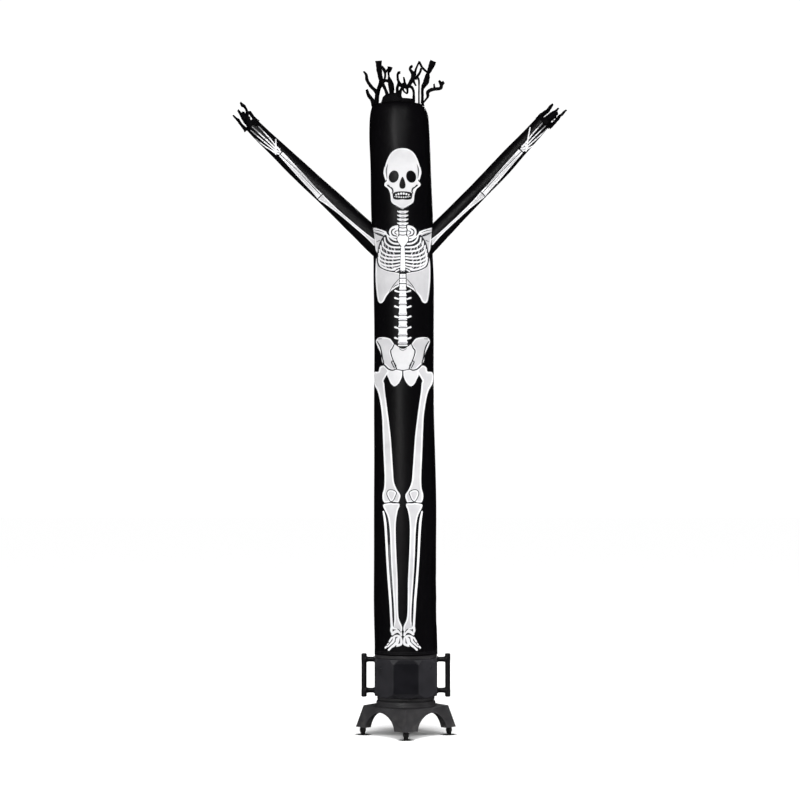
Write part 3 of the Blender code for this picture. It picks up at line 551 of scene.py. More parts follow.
def draw_skull(d):
    d.middle -= SKULL_LEFT
    cranium = [(0, 148.2), (6, 149.2), (11.3, 152.9), (14.9, 159), (17.1, 165.5), (17.7, 172),
               (17.1, 177.3), (15.5, 180.6)]
    cheek = [(17.7, 183), (17.8, 185.8), (14.4, 188.6)]
    jaw = [(12.5, 192.5), (11.8, 196.5), (11.3, 201), (9.2, 203.8), (4.4, 206.4)]
    half = cranium + cheek + jaw
    outline = half + [(0, 209)] + mirrored(half[1:])
    d.paint("bone", curve(outline))
    d.paint("pale", inset(curve(outline), 1.3))
    d.stroke("bone", [(17.6, 167), (18, 173), (16.6, 180)], (0.6, 2, 0.8))
    d.stroke("soft", [(14.6, 164), (16, 170), (15.4, 178.6)], (0.4, 1.8, 0.6))
    d.stroke("mid", [(15, 165.5), (16.4, 171), (15.6, 178)], (0.3, 1, 0.3))
    d.stroke("soft", [(-6.4, 206.2), (0, 208.2), (6.4, 206.2)], (0.3, 0.7, 0.3), both=False)
    d.paint("cloth", oval(8.7, 176.6, 5, 6.3, -16), True)
    nose = [(0, 176.8), (1.8, 179.6), (3.1, 184.6), (2.4, 187.8), (0, 188.8)]
    d.paint("cloth", curve(nose + mirrored(nose[1:-1])))
    d.stroke("line", [(14.5, 185.4), (12.4, 187.2), (10.4, 188.6), (9.4, 191.4)],
             (1.9, 1.3, 1.7, 1.4))
    d.stroke("line", [(9.4, 191), (10.4, 193.4)], (1.3, 0.9))
    mouth = [(0, 191.3), (5, 191.6), (9.4, 193), (9.6, 196.5), (8.6, 199), (4.6, 199.8), (0, 199.4)]
    d.paint("cloth", curve(mouth + mirrored(mouth[1:-1])))
    for x, size in ((1.3, 1), (3.9, 0.96), (6.3, 0.72)):
        d.paint("bone", oval(x, 193.6 + 0.03 * x * x, 1.02 * size, 1.15 * size), True)
    for x, size in ((1.15, 1), (3.4, 1), (5.6, 0.85), (7.4, 0.6)):
        d.paint("pale", oval(x, 197.2 - 0.012 * x * x, 0.88 * size, 0.80 * size), True)
    d.middle += SKULL_LEFT


def draw_neck(d):
    d.stroke("cloth", [(0, 210.6), (0, 225)], 5.4, rounded=False, both=False)
    for k in range(4):
        y = 212.0 + 3.9 * k
        d.stroke("bone", [(-3.1, y - 0.2), (0, y + 0.2), (3.1, y - 0.2)], (2.4, 2.7, 2.4), both=False)
        d.stroke("bone", [(2.6, y + 0.6), (5, y - 0.7)], (1.5, 1.2))
        d.stroke("mid", [(-1.5, y + 0.4), (0, y + 0.9), (1.5, y + 0.4)], (0.3, 0.6, 0.3), both=False)
        d.stroke("line", [(-3.2, y + 1.9), (0, y + 2), (3.2, y + 1.9)], 0.75, both=False)


RIB_ROWS = (       # the points of each front rib, from its outer end inwards
    ((16.4, 235.4), (14, 240.4), (9.4, 243.3), (4.4, 243.9)),
    ((19, 237), (17.6, 242.6), (12.6, 246.4), (7, 247.4), (2.9, 247.4)),
    ((21.3, 240.8), (20, 246.4), (14.6, 250.2), (8, 251.4), (2.9, 251.4)),
    ((23.2, 245.2), (21.8, 250.8), (15.6, 254.6), (8.4, 255.6), (3, 255.3)),
    ((24.5, 249.2), (22.7, 254.9), (16.4, 258.1), (8.8, 258.6), (3.1, 258)),
    ((25.1, 253.2), (23.2, 258.7), (17, 261.7), (9.4, 262.2), (3.2, 261.2)),
    ((25.5, 257.2), (23.3, 262.4), (17, 265.4), (9.6, 265.8), (3.4, 264.5)),
    ((25.3, 260.6), (22.4, 265.8), (15.6, 268.9), (9.4, 269.9), (7.4, 269)))


def draw_wings(d):
    """The wide wings of the chest's lower half, and the shoulder blades."""
    wing = [(26, 258.6), (27.2, 262), (27.5, 277), (26.6, 290), (25, 300.4), (22.6, 303.2),
            (19.4, 301.6), (16.6, 296.4), (12.6, 291.6), (7.4, 288), (3.2, 284.6), (2.9, 274),
            (8.5, 271.6), (16, 270), (22.4, 266.4)]
    d.bone(curve(wing), True, 1.5)
    for start, end in (((4.2, 279.2), (13.6, 292.2)), ((4.6, 284.6), (9.4, 287.6))):
        middle = ((start[0] + end[0]) / 2 + 0.5, (start[1] + end[1]) / 2 - 0.3)
        d.stroke("line", [start, middle, end], (0.5, 0.8, 0.4))
    blade = [(29.8, 228.3), (24, 229), (18, 231), (14.6, 233.2), (16.5, 238), (21.5, 244),
             (25, 252.6), (27.3, 249.6), (28, 243), (28.9, 237)]
    d.bone(curve(blade), True, 1.2)
    d.stroke("line", [(28.6, 230.3), (24, 230.6), (18.6, 232.8)], (0.5, 0.9, 0.5))
    d.stroke("line", [(27.8, 233.2), (23, 235.4), (18.4, 236.6)], (0.5, 0.9, 0.6))
    d.stroke("mid", [(26.6, 242), (23.2, 240.4)], (0.5, 1))


def draw_cage(d):
    """The dark cage, the ribs of its back and the front ribs over them."""
    cage = [(0, 226.5), (6, 225.8), (12.6, 229.2), (14.8, 233.6), (18.4, 235.2), (22.4, 241),
            (24.9, 248), (26, 255), (26.2, 261), (23.9, 266.9), (16.2, 270.9), (8.4, 272.4),
            (0, 273.6)]
    d.paint("line", curve(cage + mirrored(cage[1:-1])))
    for upper, lower in zip(RIB_ROWS[1:], RIB_ROWS[2:]):
        for j in range(5):                       # the ribs of the back, seen between the bands
            share = 0.20 + 0.13 * j
            i = min(int(share * 4), 3)
            a, b = (Vector(r[i]).lerp(Vector(r[min(i + 1, len(r) - 1)]), share * 4 - i)
                    for r in (upper, lower))
            d.paint("soft" if j % 2 else "shade", limb([a.lerp(b, 0.20) + Vector((0.7, 0)),
                                                        a.lerp(b, 0.80) - Vector((0.7, 0))], 0.9),
                    True)
    for row in RIB_ROWS:
        row = [(row[0][0] - 0.9, row[0][1] + 0.3), (row[1][0] - 0.4, row[1][1]), *row[2:]]
        d.stroke("bone", row, (1.1, 1.6, 1.7, 1.7, 1.7))
    for line, widths in ((((8.8, 268.2), (5.8, 268), (2.8, 266.8)), (1.3, 1.4, 1.1)),
                         (((6.8, 271.4), (3.8, 269.7)), (1.4, 1.1))):
        d.stroke("bone", line, widths)


def draw_collar(d):
    """The collar bones and the first ribs, round the foot of the neck."""
    d.stroke("bone", [(29.4, 229.6), (22, 231.8), (16.4, 234), (12.4, 237), (8.6, 239.6),
                      (5, 240.2)], (1.6, 1.9, 2, 2, 1.9, 1.6))
    d.stroke("mid", [(28.8, 229.9), (24, 230.7), (19, 232.5)], (0.6, 1.1, 0.6))
    d.stroke("line", [(29, 232.4), (22.4, 234.4), (18, 237)], (0.6, 1.2, 1))
    d.stroke("line", [(16, 229.8), (15.4, 233), (13.4, 235.4)], (1.4, 1.3, 0.9))
    ring = [(5, 225.2), (9.8, 226.4), (12.8, 229), (13.8, 232.6), (12.4, 235.8), (8.6, 238),
            (4.6, 238.2)]
    d.paint("bone", curve(ring + [(0, 238)] + mirrored(ring) + [(0, 225)]))
    d.stroke("line", [(8, 228.6), (10.6, 230.2), (11.2, 232.8), (9.6, 235.2), (6.2, 236.2)],
             (0.8, 1.4, 1.3, 1.4, 1.1))
    d.stroke("line", [(5.4, 230.8), (7.4, 231.4), (7.8, 233.2), (5.8, 234.4)], (0.7, 1, 1, 0.7))
    for y in (227.4, 231, 234.6):
        d.stroke("mid", [(-3.6, y), (0, y + 0.6), (3.6, y)], (0.9, 1.1, 0.9), both=False)
    d.stroke("line", [(4.2, 225), (3.8, 227.6), (4.4, 230), (3.8, 233), (4.2, 236)],
             (1.6, 0.9, 1.3, 0.9, 1.4))


def draw_breastbone(d):
    handle = [(0, 236), (4.4, 236.4), (5.5, 239.4), (3.9, 242.8), (1.3, 246)]
    d.paint("line", curve([(x * 1.16, y) for x, y in handle]
                          + [(-x * 1.16, y) for x, y in reversed(handle[1:])]))
    d.paint("bone", curve(handle + mirrored(handle[1:])))
    d.stroke("bone", [(0, 247.2), (0, 254), (0, 262), (0, 269.6)], (3.4, 4, 4.6, 5), both=False)
    d.stroke("bone", [(0, 269), (0, 272)], (3.6, 2), both=False)
    d.stroke("mid", [(-1.6, 270.6), (0, 271.3), (1.6, 270.6)], 0.7, both=False)


SPINE_LINKS = (273.6, 278.2, 283.6, 290.2, 296.8, 304.8, 315.3, 320.6, 327.7, 335.9, 344)
SPINE_SPURS = ((291.3, 5.9), (298.4, 6.3), (306.8, 6.3), (316.9, 6.2), (327.7, 6.2), (338.3, 6.3))


def draw_spine(d):
    d.stroke("cloth", [(0, 271.6), (0, 290)], (7.4, 8), rounded=False, both=False)
    for k, (top, low) in enumerate(zip(SPINE_LINKS, SPINE_LINKS[1:])):
        half = 2.9 + 0.17 * k
        y = (top + low) / 2
        high = (low - top) / 2 - 0.45
        body = [(-half, y - high * 0.9), (0, y - high), (half, y - high * 0.9), (half * 0.92, y),
                (half * 1.06, y + high * 0.92), (0, y + high), (-half * 1.06, y + high * 0.92),
                (-half * 0.92, y)]
        d.paint("bone", curve(body, steps=3))
        if k > 3:
            d.stroke("mid", [(-half * 0.8, low - 1.6), (0, low - 1.3), (half * 0.8, low - 1.6)],
                     0.45, both=False)
        if k < 4:
            d.paint("shade", oval(0, y, 0.9, 0.7))
    d.stroke("bone", [(-4, 345.3), (4, 345.3)], 1.5, both=False)
    for y, x in SPINE_SPURS:
        d.stroke("bone", [(x - 2, y + 0.7), (x + 1.5, y - 0.5)], (1.3, 1.9))


def draw_hips(d):
    """The hip blades, the wedge between them and the two lobes below."""
    blade = [(27, 341.4), (25, 338), (20, 337.2), (13.6, 338.4), (10.6, 341.4), (8.9, 345),
             (12.3, 351), (10.8, 357.4), (6.2, 368.6), (11.6, 370.2), (17.2, 365.4), (20.8, 361.6),
             (21.9, 354.4), (25.4, 346.4)]
    d.bone(curve(blade), True, 1.2, "dim")
    d.stroke("line", [(26, 341.4), (23.2, 346), (21.6, 351.6), (20.6, 357.6), (18.9, 364)],
             (0.9, 1.4, 1.3, 1.4, 1))
    d.stroke("mid", [(24.6, 338.9), (21.2, 338.7)], (1, 0.6))
    sacrum = [(8.9, 344.6), (5, 346.6), (2.6, 348.3), (0, 348.8), (-2.6, 348.3), (-5, 346.6),
              (-8.9, 344.6), (-12.2, 351), (-10.6, 357.4), (-6, 368.8), (-3, 370), (0, 370.2),
              (3, 370), (6, 368.8), (10.6, 357.4), (12.2, 351)]
    d.paint("pale", curve(sacrum))
    d.stroke("line", [(8.9, 344.8), (10.4, 348.2), (12.2, 351), (10.8, 357.4), (6.3, 368.6)],
             (1, 1.2, 1.3, 1.1, 1.3))
    d.stroke("mid", [(-3.6, 348.6), (0, 350.6), (3.6, 348.6)], 0.6, both=False)
    lobe = [(0.5, 371.4), (3.6, 370.2), (7.2, 369.5), (13.6, 369), (15.8, 374.4), (14, 379),
            (11.8, 383.6), (8.2, 386.2), (4.2, 383.4), (1.2, 377.4)]
    d.bone(curve(lobe), True, 1.2, "pale")
    d.stroke("line", [(18.6, 365), (15, 368.6), (10.6, 370.2), (7, 369.2)], (1.3, 1.4, 1.4, 1))
    d.stroke("mid", [(0.4, 370.6), (3.4, 369.9), (6.4, 369.4)], (1.2, 1, 1.2))
    d.stroke("line", [(0, 370.4), (0, 375.4)], (1.2, 1.5), both=False)
    ring = limb([(8.4, 368), (11.2, 362.4), (9.6, 361.2), (6.6, 366)], (0.9, 1.1, 1, 0.9))
    d.paint("line", ring, True)


def draw_thighs(d):
    thigh = [(14.2, 371.2), (16.3, 367.6), (19.8, 365.6), (23.4, 367.4), (24.6, 371.6),
             (29.2, 372.2), (30.6, 377), (29.4, 383.6), (25.6, 390.6), (23.2, 400), (21, 415),
             (20.2, 430), (19.4, 452), (18.6, 470), (18.4, 480), (18.8, 488), (20.4, 494.6),
             (19.8, 500.4), (17.4, 503), (13.6, 502), (10, 501.8), (5, 502.4), (3.4, 499.8),
             (2.6, 495), (6, 489.4), (9, 481.6), (10, 470), (12, 440), (13.6, 425), (16.2, 405),
             (18, 392), (18.7, 383.6), (19.4, 380.6), (16.2, 375)]
    d.bone(curve(thigh), True, 1.5)
    d.stroke("line", [(14.3, 370.2), (13.9, 372.2), (15.9, 375.4)], 0.8)
    cap = curve([(6, 492.4), (9, 489.9), (13.4, 489.4), (16, 491.4), (16.3, 495), (13.6, 500.6),
                 (11.6, 502), (9, 500.4), (7, 496.2)])
    d.paint("line", cap, True)
    d.bone(inset(cap, 0.85), True, 1.2)
    d.stroke("cloth", [(18.6, 503.2), (14.2, 503), (10, 502.2), (4.2, 503)], (1.5, 1.3, 0.9, 1.3))


def draw_shins(d):
    shin = [(4, 503.6), (9.6, 503.4), (12.4, 503), (18.8, 504.2), (19.6, 506.4), (17.6, 510.8),
            (15.2, 516), (13.8, 523), (12.9, 532), (12.4, 544), (11.8, 560), (10.6, 580),
            (9.2, 600), (8.6, 612), (8.6, 622), (10.4, 628.4), (6, 629.8), (1.6, 631.6),
            (0.6, 628.6), (1.4, 625), (3.6, 620), (4.6, 614), (5, 600), (5.2, 580), (6.2, 560),
            (7, 540), (7, 523), (5.2, 511), (3.4, 506.4)]
    d.bone(curve(shin), True, 1.4)
    for side, slit, low in ((-1, "line", "mid"), (1, "cloth", "cloth")):
        for ink, points, widths in (
                ("bone", ((19.4, 511.6), (17.6, 522), (16.4, 540), (15.4, 560), (14, 580),
                          (12.4, 600), (11.6, 616), (10.9, 628)),
                 (1.5, 2.4, 2.2, 2.2, 2.3, 2.3, 2.1, 2.2)),
                (slit, ((17.6, 513), (14.9, 523), (14.1, 536), (13.7, 546)), (0.5, 1.4, 1.6, 1.1)),
                (low, ((13.7, 545), (13, 560), (12, 578), (10.9, 592)), (1.2, 1.5, 1.2, 0.8)),
                ("line", ((10.9, 590), (10.3, 604), (9.6, 616), (9.2, 626.5)),
                 (0.7, 1.1, 1.3, 0.7))):
            d.stroke(ink, [(side * x, y) for x, y in points], widths, both=False)


def draw_feet(d):
    d.stroke("bone", [(11.2, 627.6), (11.4, 630.6), (10.8, 633)], (2.2, 2.4, 1.4))
    d.stroke("cloth", [(8.9, 630.6), (6.8, 630.6)], (1.6, 0.5))
    d.stroke("bone", [(10.4, 634.2), (8, 632), (4.8, 631.2), (2.6, 632.6), (1.5, 635.4)],
             (2.4, 3, 3.2, 3, 1.8))
    d.stroke("line", [(5.4, 628.9), (3.6, 630.2), (2.2, 632.2)], (0.7, 1, 0.7))
    d.stroke("bone", [(10.2, 637.6), (7.8, 636.2), (5.2, 635.8), (2.4, 637.4), (1.4, 641),
                      (2, 644.2), (6, 646.2)], (1.2, 2, 2, 2.2, 2.4, 2.6, 1.2))
    d.paint("bone", curve([(3.4, 637.4), (6.4, 638), (7.2, 641.4), (6.8, 645), (4.6, 645.4),
                           (3.2, 642)]), True)
    d.stroke("line", [(2.9, 638.2), (3.2, 641.4), (4.4, 643.8)], (0.4, 0.9, 0.5))
    d.stroke("line", [(6, 637), (7.4, 639.4), (8, 642)], (0.5, 0.9, 0.6))
    for line, widths in ((((8.6, 636.8), (9.4, 641), (12.2, 644), (15, 646.8)), (2.2, 2.3, 1.8, 1.2)),
                         (((6.8, 643), (9, 645.4), (11.4, 647.2), (14, 649.8)), (2.4, 2.6, 1.9, 2)),
                         (((11, 637.8), (13.4, 641.6)), (1.9, 1.7)),
                         (((14.4, 643.4), (15.6, 645)), (1.1, 0.9)),
                         (((16.4, 646.6), (17.4, 647.8)), (1.7, 1.7))):
        d.stroke("bone", line, widths)


def draw_hand(d, wrist, spread, thumb, tips):
    """Wrist bones, four long fingers and a thumb, on named points."""
    wx, wy = wrist
    palm = Vector((tips[1][0] - wx, tips[1][1] - wy)).normalized()
    side = Vector((-palm.y, palm.x)) * spread
    for row, (reach, count) in enumerate(((2.2, 2), (4.4, 3), (6.6, 3))):
        for k in range(count):
            off = (k - (count - 1) / 2) * 2.5
            centre = Vector(wrist) + palm * reach + side * off
            d.paint("bone", oval(centre.x, centre.y, 1.35, 1.1, 40 * (k - row)))
            d.paint("mid", oval(centre.x + side.x * 1.25, centre.y + side.y * 1.25, 0.45, 0.65))
    for k, tip in enumerate(tips):
        start = Vector(wrist) + palm * 7.6 + side * ((k - 1.5) * 1.9)
        knuckle = start.lerp(Vector(tip), 0.42) + side * ((k - 1.5) * 0.4)
        joint = start.lerp(Vector(tip), 0.72) + side * ((k - 1.5) * 0.2)
        d.stroke("soft", [knuckle, joint, tip], (1.3, 1.1, 0.8), both=False)
        d.stroke("bone", [start, start.lerp(knuckle, 0.5), knuckle], (1.6, 1.1, 1.3), both=False)
        d.stroke("bone", [knuckle.lerp(joint, 0.2), joint], (1.0, 0.8), both=False)
    base = Vector(wrist) + palm * 4.0 + side * thumb[0]
    bend = (base * 0.4 + Vector(thumb[1]) * 0.6)
    d.stroke("bone", [base, bend, thumb[1]], (1.8, 1.3, 1.0), both=False)


def draw_arm(d, shoulder, elbow, wrist, spread, thumb, tips):
    s, e, w = Vector(shoulder), Vector(elbow), Vector(wrist)
    line = (e - s).normalized()
    d.bone(limb([s - line * 1.0, s.lerp(e, 0.10), s.lerp(e, 0.24),
                 s.lerp(e, 0.5), s.lerp(e, 0.72), s.lerp(e, 0.90),
                 e - line * 0.8], (5.6, 3.7, 2.8, 2.7, 3.2, 5.0, 6.8)), False, 1.0)
    down = (w - e).normalized()
    n = Vector((-down.y, down.x)) * spread
    start = e + down * 0.8
    path = [start, start.lerp(w, 0.14), start.lerp(w, 0.5), start.lerp(w, 0.86), w]
    widths = (6.8, 5.6, 6.0, 5.6, 5.4)
    d.stroke("bone", path, widths, rounded=False, both=False)
    offsets = (1.5, 1.3, 0.9, -0.2, -0.8)
    d.stroke("shade", [p + n * (off - 2.0) for p, off in zip(path[1:4], offsets[1:4])],
             (0.8, 2.3, 0.6), both=False)
    d.stroke("soft", [p + n * (off + 1.2) for p, off in zip(path[1:4], offsets[1:4])],
             (0.5, 0.9, 0.5), both=False)
    d.stroke("line", [p + n * off for p, off in zip(path, offsets)],
             (0.4, 0.8, 0.7, 0.8, 0.7), both=False)
    d.stroke("line", [path[0] + n * 3.6, path[0] - n * 3.6], 1.0, both=False)
    draw_hand(d, wrist, spread, thumb, tips)


figure = Drawing(FIGURE_MIDDLE)
for part in (draw_wings, draw_cage, draw_collar, draw_breastbone, draw_neck, draw_skull,
             draw_spine, draw_thighs, draw_shins, draw_hips, draw_feet):
    part(figure)
# shoulder, elbow, wrist, the side that the fingers spread to, the thumb's offset and its tip,
# and the finger tips, all in the picture's pixels
ARM_PRINTS = {
    "left": ((374.6, 242.6), (320.9, 197.3), (280.8, 153.8), 1, (-3.2, (275.6, 139.2)),
             ((255.2, 138.8), (250.6, 130.2), (252.0, 126.6), (258.6, 126.3))),
    "right": ((432.0, 241.8), (482.2, 195.0), (521.0, 150.8), -1, (-3.2, (530.2, 127.4)),
              ((537.8, 142.2), (548.2, 128.2), (546.3, 125.0), (543.0, 122.3))),
}

# ---------------------------------------------------------------- cloth in the flat


def mesh_from(bm, name):
    bmesh.ops.recalc_face_normals(bm, faces=bm.faces)
    mesh = bpy.data.meshes.new(name)
    bm.to_mesh(mesh)
    bm.free()
    return mesh


def fill(shapes, centres):
    """The ink under each centre: that of the topmost outline that holds it."""
    ink = np.zeros(len(centres), int)
    for name, outline in shapes:
        ring = np.array(outline)
        low, high = ring.min(0), ring.max(0)
        near = np.where(((centres >= low) & (centres <= high)).all(1))[0]
        if not len(near):
            continue
        p = centres[near]
        a, b = ring, np.roll(ring, -1, 0)
        above = (a[:, 1][None] > p[:, 1][:, None]) != (b[:, 1][None] > p[:, 1][:, None])
        with np.errstate(divide="ignore", invalid="ignore"):
            cut = (b[:, 0] - a[:, 0])[None] * (p[:, 1][:, None] - a[:, 1][None]) / \
                (b[:, 1] - a[:, 1])[None] + a[:, 0][None]
        inside = (above & (p[:, 0][:, None] < cut)).sum(1) % 2 == 1
        ink[near[inside]] = INK_ORDER.index(name)
    return ink


def flat_points(half, low, high, step, outlines, fine):
    """The points of the flat cloth and the edges to keep: its own and those of outlines."""
    columns = round(2 * half / step)
    us = [-half + 2 * half * k / columns for k in range(columns + 1)]
    points, edges = [], []

    def chain(line, closed):
        first = len(points)
        points.extend(line)
        count = len(line)
        edges.extend((first + k, first + (k + 1) % count)
                     for k in range(count if closed else count - 1))

    chain([(u, low(u)) for u in us], False)
    chain([(u, high) for u in us], False)
    rows = ceil((high - low(-half)) / step)
    for u in (-half, half):
        bottom = low(u)
        chain([(u, bottom + (high - bottom) * k / rows) for k in range(1, rows)], False)
    for outline in outlines:
        chain(outline, True)
    fixed = KDTree(len(points))
    for k, p in enumerate(points):
        fixed.insert((*p, 0.0), k)
    fixed.balance()
    v_low = min(low(u) for u in us)
    halves = 2 * round((high - v_low) / step)
    for j in range(1, halves):
        v = v_low + (high - v_low) * j / halves
        for i in range(1, 2 * columns):
            u = -half + half * i / columns
            between = i % 2 or j % 2
            if (between and not fine(u, v)) or v <= low(u) + step * 0.3:
                continue
            if fixed.find((u, v, 0.0))[2] > step * (0.22 if between else 0.34):
                points.append((u, v))
    return points, edges


def flat_cloth(name, half, low, high, step, shapes, place, fine, holes=()):
    """Cloth cut flat from -half to half and from low(u) to high, printed, then shaped.

    place(u, v) is its point in space. fine(u, v) says where the mesh is twice as fine.
    """
    outlines = [outline for _, outline in shapes] + list(holes)
    points, edges = flat_points(half, low, high, step, outlines, fine)
    made = delaunay_2d_cdt([Vector(p) for p in points], edges, [], 0, 1e-7, False)
    flat = np.array([tuple(v) for v in made[0]])
    faces = np.array([f for f in made[2] if len(f) == 3])
    centres = flat[faces].mean(1)
    keep = centres[:, 1] > np.array([low(u) for u in centres[:, 0]]) - 1e-6
    keep &= fill([("bone", outline) for outline in holes], centres) == 0
    faces, centres = faces[keep], centres[keep]

    bm = bmesh.new()
    uv = bm.loops.layers.uv.new("cloth")
    verts = {k: bm.verts.new(place(*flat[k])) for k in sorted(set(faces.ravel().tolist()))}
    for face, colour in zip(faces, fill(shapes, centres)):
        made_face = bm.faces.new([verts[k] for k in face])
        made_face.material_index = int(colour)
        made_face.smooth = True
        for loop, k in zip(made_face.loops, face):
            loop[uv].uv = flat[k]
    bmesh.ops.remove_doubles(bm, verts=bm.verts, dist=0.00002)
    mesh = bpy.data.meshes.new(name)
    bm.to_mesh(mesh)
    bm.free()
    for material in INK.values():
        mesh.materials.append(material)
    return add_object(name, mesh)


def face_out(piece, out):
    """Turns the faces so that out(centre) is the side they show."""
    face = max(piece.data.polygons, key=lambda p: p.area)
    if face.normal.dot(out(face.center)) < 0:
        piece.data.flip_normals()


def apply_modifiers(piece):
    depsgraph = bpy.context.evaluated_depsgraph_get()
    mesh = bpy.data.meshes.new_from_object(piece.evaluated_get(depsgraph))
    piece.modifiers.clear()
    piece.data = mesh


def thicken(piece, side=-1):
    """Gives a sheet its thickness, on its inner side (-1) or half on each (0)."""
    solid = piece.modifiers.new("thick", "SOLIDIFY")
    solid.thickness, solid.offset = CLOTH, side
    apply_modifiers(piece)


def claim(piece, nodes):
    """Puts a piece on the only body, and hides the solids that it stands for."""
    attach(piece, "root")
    if nodes:
        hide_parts(*nodes)
    return piece


# ---------------------------------------------------------------- creases

BODY_REF = 0.1555


def armhole(side):
    """The middle of an armhole on the body's flat cloth, and its half width."""
    sleeve = SLEEVES[side]
    spots = []
    for k in range(24):
        angle = 2 * pi * k / 24
        point = sleeve.point(angle, 0.0) + sleeve.frame(0.0)[0] * sleeve.mouth(angle)
        x, y = smooth_rows(BODY, point.z, (1, 2))
        spots.append((atan2(point.x - x, -(point.y - y)) * BODY_REF, point.z))
    u = sum(s[0] for s in spots) / len(spots)
    v = sum(s[1] for s in spots) / len(spots)
    return u, v, spots


ARMHOLES = {side: armhole(side) for side in SLEEVES}


def crease(u, v, start, end, width, depth):
    """A soft fold along a line on the flat cloth."""
    ax, ay = end[0] - start[0], end[1] - start[1]
    size = ax * ax + ay * ay
    t = ((u - start[0]) * ax + (v - start[1]) * ay) / size
    if t < -0.05 or t > 1.05:
        return 0.0
    off = abs((u - start[0]) * ay - (v - start[1]) * ax) / sqrt(size)
    if off > 3 * width:
        return 0.0
    fade = max(sin(pi * min(max(t, 0.0), 1.0)), 0.0)
    return depth * fade * exp(-(off / width) ** 2)


random.seed(11)
BODY_CREASES = []
for side_name, (hole_u, hole_v, _) in ARMHOLES.items():
    for k in range(11):
        turn = 2 * pi * (k + random.uniform(-0.3, 0.3)) / 11
        near, far = 0.062, 0.062 + random.uniform(0.05, 0.13)
        BODY_CREASES.append(((hole_u + near * cos(turn), hole_v + near * 1.3 * sin(turn)),
                             (hole_u + far * cos(turn), hole_v + far * 1.5 * sin(turn)),
                             random.uniform(0.006, 0.011),
                             random.choice((-1, 1)) * random.uniform(0.0008, 0.0018)))
for k in range(26):
    start_u = random.uniform(-0.49, 0.49)
    start_v = random.uniform(0.47, 0.72)
    lean = random.uniform(-0.09, 0.09)
    BODY_CREASES.append(((start_u, start_v), (start_u + lean, start_v + random.uniform(0.05, 0.16)),
                         random.uniform(0.007, 0.014),
                         random.choice((-1, 1)) * random.uniform(0.0005, 0.0014)))
for k in range(40):
    start_u = random.uniform(-0.49, 0.49)
    start_v = random.uniform(0.75, 3.0)
    BODY_CREASES.append(((start_u, start_v),
                         (start_u + random.uniform(-0.05, 0.05), start_v + random.uniform(0.15, 0.4)),
                         random.uniform(0.014, 0.026),
                         random.choice((-1, 1)) * random.uniform(0.0003, 0.0007)))


def body_place(u, v):
    angle = u / BODY_REF - pi / 2
    point = body_surface(angle, v)
    x, y = smooth_rows(BODY, v, (1, 2))
    out = Vector((point.x - x, point.y - y, 0.0)).normalized()
    hem = max(0.0, 1.0 - (v - BODY_LOW) / 0.03)
    lift = sum(crease(u, v, *c) for c in BODY_CREASES if abs(v - c[0][1]) < 0.5)
    lift += 0.0011 * noise.noise(Vector((point.x * 9, point.y * 9, v * 3.5)))
    lift += 0.0007 * max(0.0, 1 - abs((v - BODY_LOW) - 0.024) / 0.003)     # the edge of the hem
    lift += 0.0010 * exp(-((v - BODY_LOW) / 0.004) ** 2)                   # where it is turned
    if v > BODY_TOP - 0.05:
        lift *= max(0.2, (BODY_TOP - v) / 0.05)
    return point + out * (lift * (1 - 0.7 * hem))


def arm_place(side):
    sleeve = SLEEVES[side]
    ref = sleeve.rows[4][4] / 2
    random.seed(21 if side == "left" else 22)
    folds = []
    for k in range(9):
        turn = 2 * pi * (k + random.uniform(-0.3, 0.3)) / 9 - pi
        folds.append(((turn * ref, 0.04), (turn * ref + random.uniform(-0.02, 0.02),
                                           random.uniform(0.12, 0.20)),
                      random.uniform(0.006, 0.010),
                      random.choice((-1, 1)) * random.uniform(0.0006, 0.0013)))
    for k in range(14):
        turn, at = random.uniform(-pi, pi), random.uniform(0.2, sleeve.length - 0.12)
        folds.append(((turn * ref, at), (turn * ref + random.uniform(-0.02, 0.02), at + 0.11),
                      random.uniform(0.006, 0.012),
                      random.choice((-1, 1)) * random.uniform(0.0004, 0.0010)))

    def place(u, v):
        angle = u / ref - pi / 2
        point = sleeve.point(angle, v)
        out = (point - sleeve.middle(v) - sleeve.frame(max(v, 0))[0] * min(v, 0)).normalized()
        lift = sum(crease(u, v, *c) for c in folds)
        lift += 0.0007 * noise.noise(point * 12.0)
        lift *= min(1.0, max(0.0, (sleeve.length - v) / 0.02))
        return point + out * lift

    return place, ref


# ---------------------------------------------------------------- laying the print on the cloth


NEAR_EDGE, EDGE_SLOPE = 0.97, 3.0      # shares of a tube's half width


def turn_of(share):
    """How far round a tube a share of its half width is, and steadily on past its edge."""
    if share < NEAR_EDGE:
        return asin(share)
    return asin(NEAR_EDGE) + (share - NEAR_EDGE) * EDGE_SLOPE


def on_body(px, py):
    """The body's flat cloth under a pixel of the picture."""
    depth = -BODY_REF
    for _ in range(7):
        point = seen_at(px, py, depth)
        x, y, width = smooth_rows(BODY, point.z, (1, 2, 3))
        radius = width / 2
        share = (point.x - x) / radius
        turn = turn_of(abs(share))
        depth = y - radius * cos(min(turn, pi / 2))
    return (turn if share > 0 else -turn) * BODY_REF, point.z


